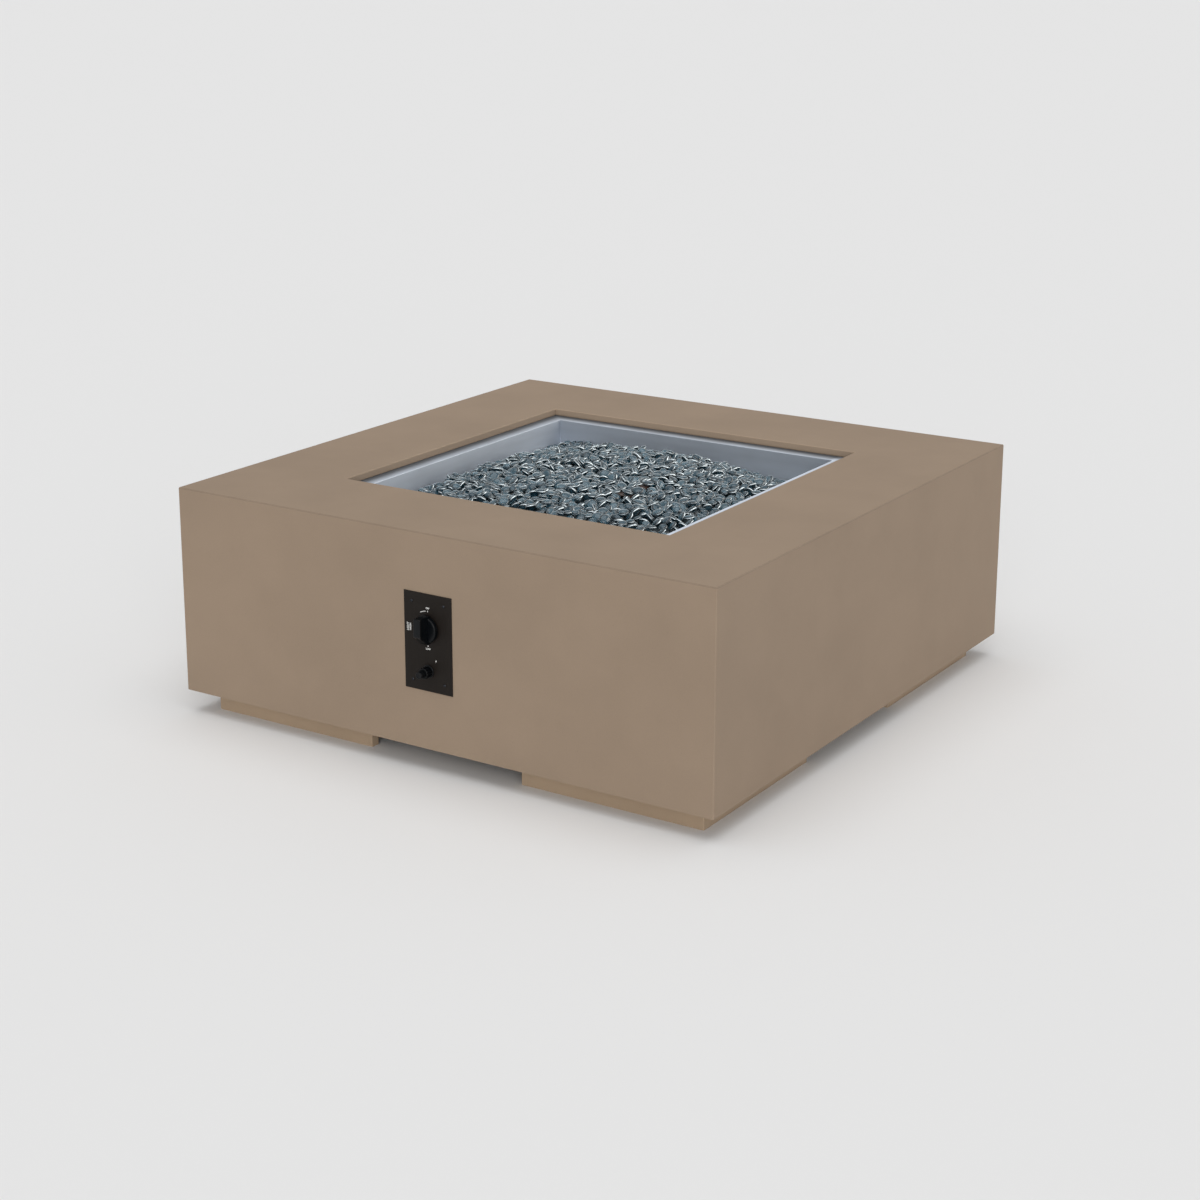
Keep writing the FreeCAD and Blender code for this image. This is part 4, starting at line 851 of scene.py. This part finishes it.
marks = {"ink": 0.04, "textRadius": 47.5, "textMm": 5.6, "sideMm": 7.0, "sideX": (-55.5, -48.5),
         "sideZ": -3.0, "bold": 0.22, "pointer": (38.0, 42.0, 1.9), "arc": (41.5, 1.6, 98, 120),
         "spark": (21.0, igniterAxis[1] + 27.0),
         "bolt": [(1.2, 4.0), (-2.0, -0.6), (-0.2, -0.6), (-1.2, -4.0), (2.2, 0.8), (0.4, 0.8)]}


def inkText(words, x, z, turnDegrees, sizeMm):
    # plain sans letters, as flat ink
    curve = bpy.data.curves.new("marks", "FONT")
    curve.body = words
    curve.size = sizeMm * mm
    curve.align_x = curve.align_y = "CENTER"
    curve.extrude = marks["ink"] / 2 * mm
    curve.offset = marks["bold"] * mm
    mesh = meshOf(curve)
    place = Matrix.Translation(Vector((x, face - marks["ink"] / 2, z)) * mm)
    upright = Matrix.Rotation(math.radians(90), 4, "X")
    mesh.transform(place @ upright @ Matrix.Rotation(math.radians(turnDegrees), 4, "Z"))
    return [tuple(v.co) for v in mesh.vertices], [tuple(p.vertices) for p in mesh.polygons]


def inkOutline(points):
    # a flat mark of this outline, in mm on the panel
    return skin([[(x * mm, y * mm, z * mm) for x, z in points] for y in (face, face - marks["ink"])])


def dialMarks():
    cx, cz = knobAxis
    shapes = [inkText("OFF", cx, cz + marks["textRadius"], 0, marks["textMm"]),
              inkText("LOW", cx, cz - marks["textRadius"], 0, marks["textMm"])]
    for words, x in zip(("LIGHT", "HIGH"), marks["sideX"]):
        shapes.append(inkText(words, cx + x, cz + marks["sideZ"], 90, marks["sideMm"]))
    near, far, side = marks["pointer"]
    for way in (1, -1):
        corners = [(cx - side, cz + way * far), (cx + side, cz + way * far), (cx, cz + way * near)]
        shapes.append(inkOutline(corners[::way]))
    radius, wide, start, end = marks["arc"]
    angles = [math.radians(a) for a in range(start, end + 1, 2)]
    there = [(radius, a) for a in angles]
    back = [(radius - wide, a) for a in reversed(angles)]
    shapes.append(inkOutline([(cx + r * math.cos(a), cz + r * math.sin(a)) for r, a in there + back]))
    x, z = marks["spark"]
    shapes.append(inkOutline([(x + u, z + v) for u, v in marks["bolt"]]))
    return joined(*shapes)


newPiece("dial_marks", dialMarks(), "table", "ink", smooth=False)
print("marks printed")

# Hoses: corrugated tube along the same runs as the CAD hoses

hoses = {"burner_hose": [(0, -661.5, 352), (0, -610, 352), (0, -521.2, 352), (0, -355.5, 300),
                         (0, -250, 300), (0, -120, 300), (0, -24, 300)],
         "supply_hose": [(-35, -697.5, 320), (-35, -697.5, 288), (-35, -697.5, 242), (-35, -616.5, 170),
                         (-35, -616.5, 138), (-35, -616.5, 107)]}
hoseLook = {"crest": 7.0, "root": 5.9, "pitch": 4.4, "plain": 9.0, "around": 18,
            "wave": [(0.0, 0.0), (0.22, 0.75), (0.36, 1.0), (0.64, 1.0), (0.78, 0.75)]}


def smoothLine(points):
    # a NURBS line with these points, in metres
    curve = bpy.data.curves.new("line", "CURVE")
    curve.dimensions = "3D"
    spline = curve.splines.new("NURBS")
    spline.points.add(len(points) - 1)
    for point, place in zip(spline.points, points):
        point.co = (place[0] * mm, place[1] * mm, place[2] * mm, 1)
    spline.order_u = 3
    spline.use_endpoint_u = True
    spline.resolution_u = 24
    return np.array([v.co for v in meshOf(curve).vertices])


def tubeAlong(line, radii, steps, around):
    # rings of these radii at these lengths along a line, all in metres
    along = np.concatenate([[0], np.cumsum(np.linalg.norm(np.diff(line, axis=0), axis=1))])
    half = 0.5 * mm
    before, centres, after = [np.stack([np.interp(at, along, line[:, k]) for k in range(3)], axis=1)
                              for at in (steps - half, steps, steps + half)]
    rings = []
    side = Vector((1, 0, 0))
    for centre, radius, way in zip(centres, radii, after - before):
        way = Vector(way).normalized()
        side = (side - way * side.dot(way)).normalized()
        rings.append(hoop(centre, side, way.cross(side), radius, around))
    return skin(rings)


def corrugatedHose(points):
    # plain ends, and between them rings: each wave is a list of shares along it and shares of its height
    line = smoothLine(points)
    length = np.linalg.norm(np.diff(line, axis=0), axis=1).sum()
    plain, root, crest = hoseLook["plain"] * mm, hoseLook["root"], hoseLook["crest"]
    waves = int((length - 2 * plain) / (hoseLook["pitch"] * mm))
    pitch = (length - 2 * plain) / waves
    steps, radii = [0.0, plain * 0.98], [root, root]
    for i in range(waves):
        for share, level in hoseLook["wave"]:
            steps.append(plain + (i + share) * pitch)
            radii.append(root + (crest - root) * level)
    steps += [length - plain, length]
    radii += [root, root]
    return tubeAlong(line, np.array(radii) * mm, np.array(steps), hoseLook["around"])


for name, points in hoses.items():
    newPiece(name + "_rings", corrugatedHose(points), "table", "hose", stands=(name,))

# Springs: round wire coils, built at one length

springs = {"valve_spring": {"axis": knobAxis, "from": face + 24.3, "to": face + 33.3, "coil": 3.5, "wire": 0.5,
                            "turns": 5, "flat": 0.6, "joint": "knob_push", "keep": 0.667},
           "igniter_spring": {"axis": igniterAxis, "from": face - 12.0, "to": face - 2.0, "coil": 5.75,
                              "wire": 0.5, "turns": 5, "flat": 0.6, "joint": "igniter_push", "keep": 0.6}}


def coilShape(spring, perTurn=28, around=10):
    axisX, axisZ = spring["axis"]
    wire, turns = spring["wire"], spring["turns"]
    low, high = spring["from"] + wire, spring["to"] - wire
    count = turns * perTurn
    line = []
    for i in range(count + 1):
        share = i / count
        # the end turns lie flat, as on a ground spring
        rise = min(max((share * turns - spring["flat"]) / (turns - 2 * spring["flat"]), 0), 1)
        a = fullTurn * turns * share
        line.append(Vector((axisX + spring["coil"] * math.cos(a), low + (high - low) * rise,
                            axisZ + spring["coil"] * math.sin(a))) * mm)
    rings = []
    for i, centre in enumerate(line):
        way = (line[min(i + 1, count)] - line[max(i - 1, 0)]).normalized()
        out = Vector((centre.x - axisX * mm, 0, centre.z - axisZ * mm)).normalized()
        rings.append(hoop(centre, out, way.cross(out), wire * mm, around))
    return skin(rings)


for name, spring in springs.items():
    coil = newPiece(name + "_coil", coilShape(spring), "table", "spring", stands=(name,))
    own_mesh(coil)
print("hoses and springs made")


# Studio: one pale floor out to the horizon, a soft sky, two wide lamps and a white card

studio = {"background": "#e4e4e4", "floor": "#e8e8e8", "floorRadius": 70.0, "floorSides": 96,
          "sky": "#ffffff", "skyStrength": 0.46}

# the wide lamps: strength, width in degrees, and where each shines from
lamps = {"overhead": (1.26, 60.0, (0.05, -0.1, 1.0)), "front_fill": (1.44, 44.0, (0.52, -0.76, 0.22))}
card = {"place": (4.6, 2.2, 2.9), "aim": (0, 0, 0.5), "size": (7.0, 5.0), "power": 400.0,
        "colour": (1.0, 0.95, 0.88)}


def studioFloor():
    # matt painted floor: plain diffuse colour, and open when it is seen from below
    made = bpy.data.materials.new("mattStudioFloor")
    made.use_nodes = True
    tree = made.node_tree
    tree.nodes.clear()
    paint = addNode(tree, "ShaderNodeBsdfDiffuse", {"Color": linear(studio["floor"])})
    clear = addNode(tree, "ShaderNodeBsdfTransparent")
    under = addNode(tree, "ShaderNodeNewGeometry").outputs["Backfacing"]
    mixed = addNode(tree, "ShaderNodeMixShader", {0: under, 1: paint.outputs[0], 2: clear.outputs[0]})
    addNode(tree, "ShaderNodeOutputMaterial", {"Surface": mixed.outputs[0]})
    return made


def aimed(name, lamp, place, source):
    # source is the way from the object to the lamp
    holder = bpy.data.objects.new(name, lamp)
    holder.location = place
    holder.rotation_euler = source.to_track_quat("Z", "Y").to_euler()
    bpy.context.scene.collection.objects.link(holder)
    return holder


def buildStudio():
    mesh = bpy.data.meshes.new("studio_floor")
    radius, sides = studio["floorRadius"], studio["floorSides"]
    mesh.from_pydata([(radius * math.cos(a), radius * math.sin(a), 0) for a in circle(sides)], [],
                     [tuple(range(sides))])
    floor = bpy.data.objects.new("studio_floor", mesh)
    bpy.context.scene.collection.objects.link(floor)
    mesh.materials.append(studioFloor())
    for name, (strength, degrees, source) in lamps.items():
        lamp = bpy.data.lights.new(name, "SUN")
        lamp.energy = strength
        lamp.angle = math.radians(degrees)
        aimed(name, lamp, source, Vector(source))
    # a white card whose light shows in glossy skins only, as beside a product shot
    lamp = bpy.data.lights.new("white_card", "AREA")
    lamp.shape = "RECTANGLE"
    lamp.size, lamp.size_y = card["size"]
    lamp.energy, lamp.color = card["power"], card["colour"]
    holder = aimed("white_card", lamp, card["place"], Vector(card["place"]) - Vector(card["aim"]))
    holder.visible_diffuse = False
    world = bpy.data.worlds.new("soft_sky")
    bpy.context.scene.world = world
    world.use_nodes = True
    tree = world.node_tree
    tree.nodes.clear()
    path = addNode(tree, "ShaderNodeLightPath").outputs
    # what the camera, reflections and glass see is the plain background, and the sky lights the rest
    seen = combined(tree, "MAXIMUM", path["Is Camera Ray"], path["Is Glossy Ray"])
    seen = combined(tree, "MAXIMUM", seen, path["Is Transmission Ray"])
    sky = addNode(tree, "ShaderNodeBackground", {"Color": linear(studio["sky"]),
                                                 "Strength": studio["skyStrength"]})
    back = addNode(tree, "ShaderNodeBackground", {"Color": linear(studio["background"]), "Strength": 1.0})
    mixed = addNode(tree, "ShaderNodeMixShader", {0: seen, 1: sky.outputs[0], 2: back.outputs[0]})
    addNode(tree, "ShaderNodeOutputWorld", {"Surface": mixed.outputs[0]})


view = {"place": (2.8965, -4.5437, 1.9242), "azimuth": 33.05, "down": 15.06, "lens": 67.58, "sensor": 36.0,
        "shift": (0.0115, -0.0833)}


def placeCamera():
    camera = bpy.data.cameras.new("camera")
    camera.lens, camera.sensor_width = view["lens"], view["sensor"]
    camera.shift_x, camera.shift_y = view["shift"]
    camera.clip_start, camera.clip_end = 0.1, 200
    holder = bpy.data.objects.new("camera", camera)
    holder.location = view["place"]
    holder.rotation_euler = (math.radians(90 - view["down"]), 0, math.radians(view["azimuth"]))
    bpy.context.scene.collection.objects.link(holder)
    bpy.context.scene.camera = holder


buildStudio()
placeCamera()
bpy.context.scene.view_settings.view_transform = "Standard"
print("studio ready")
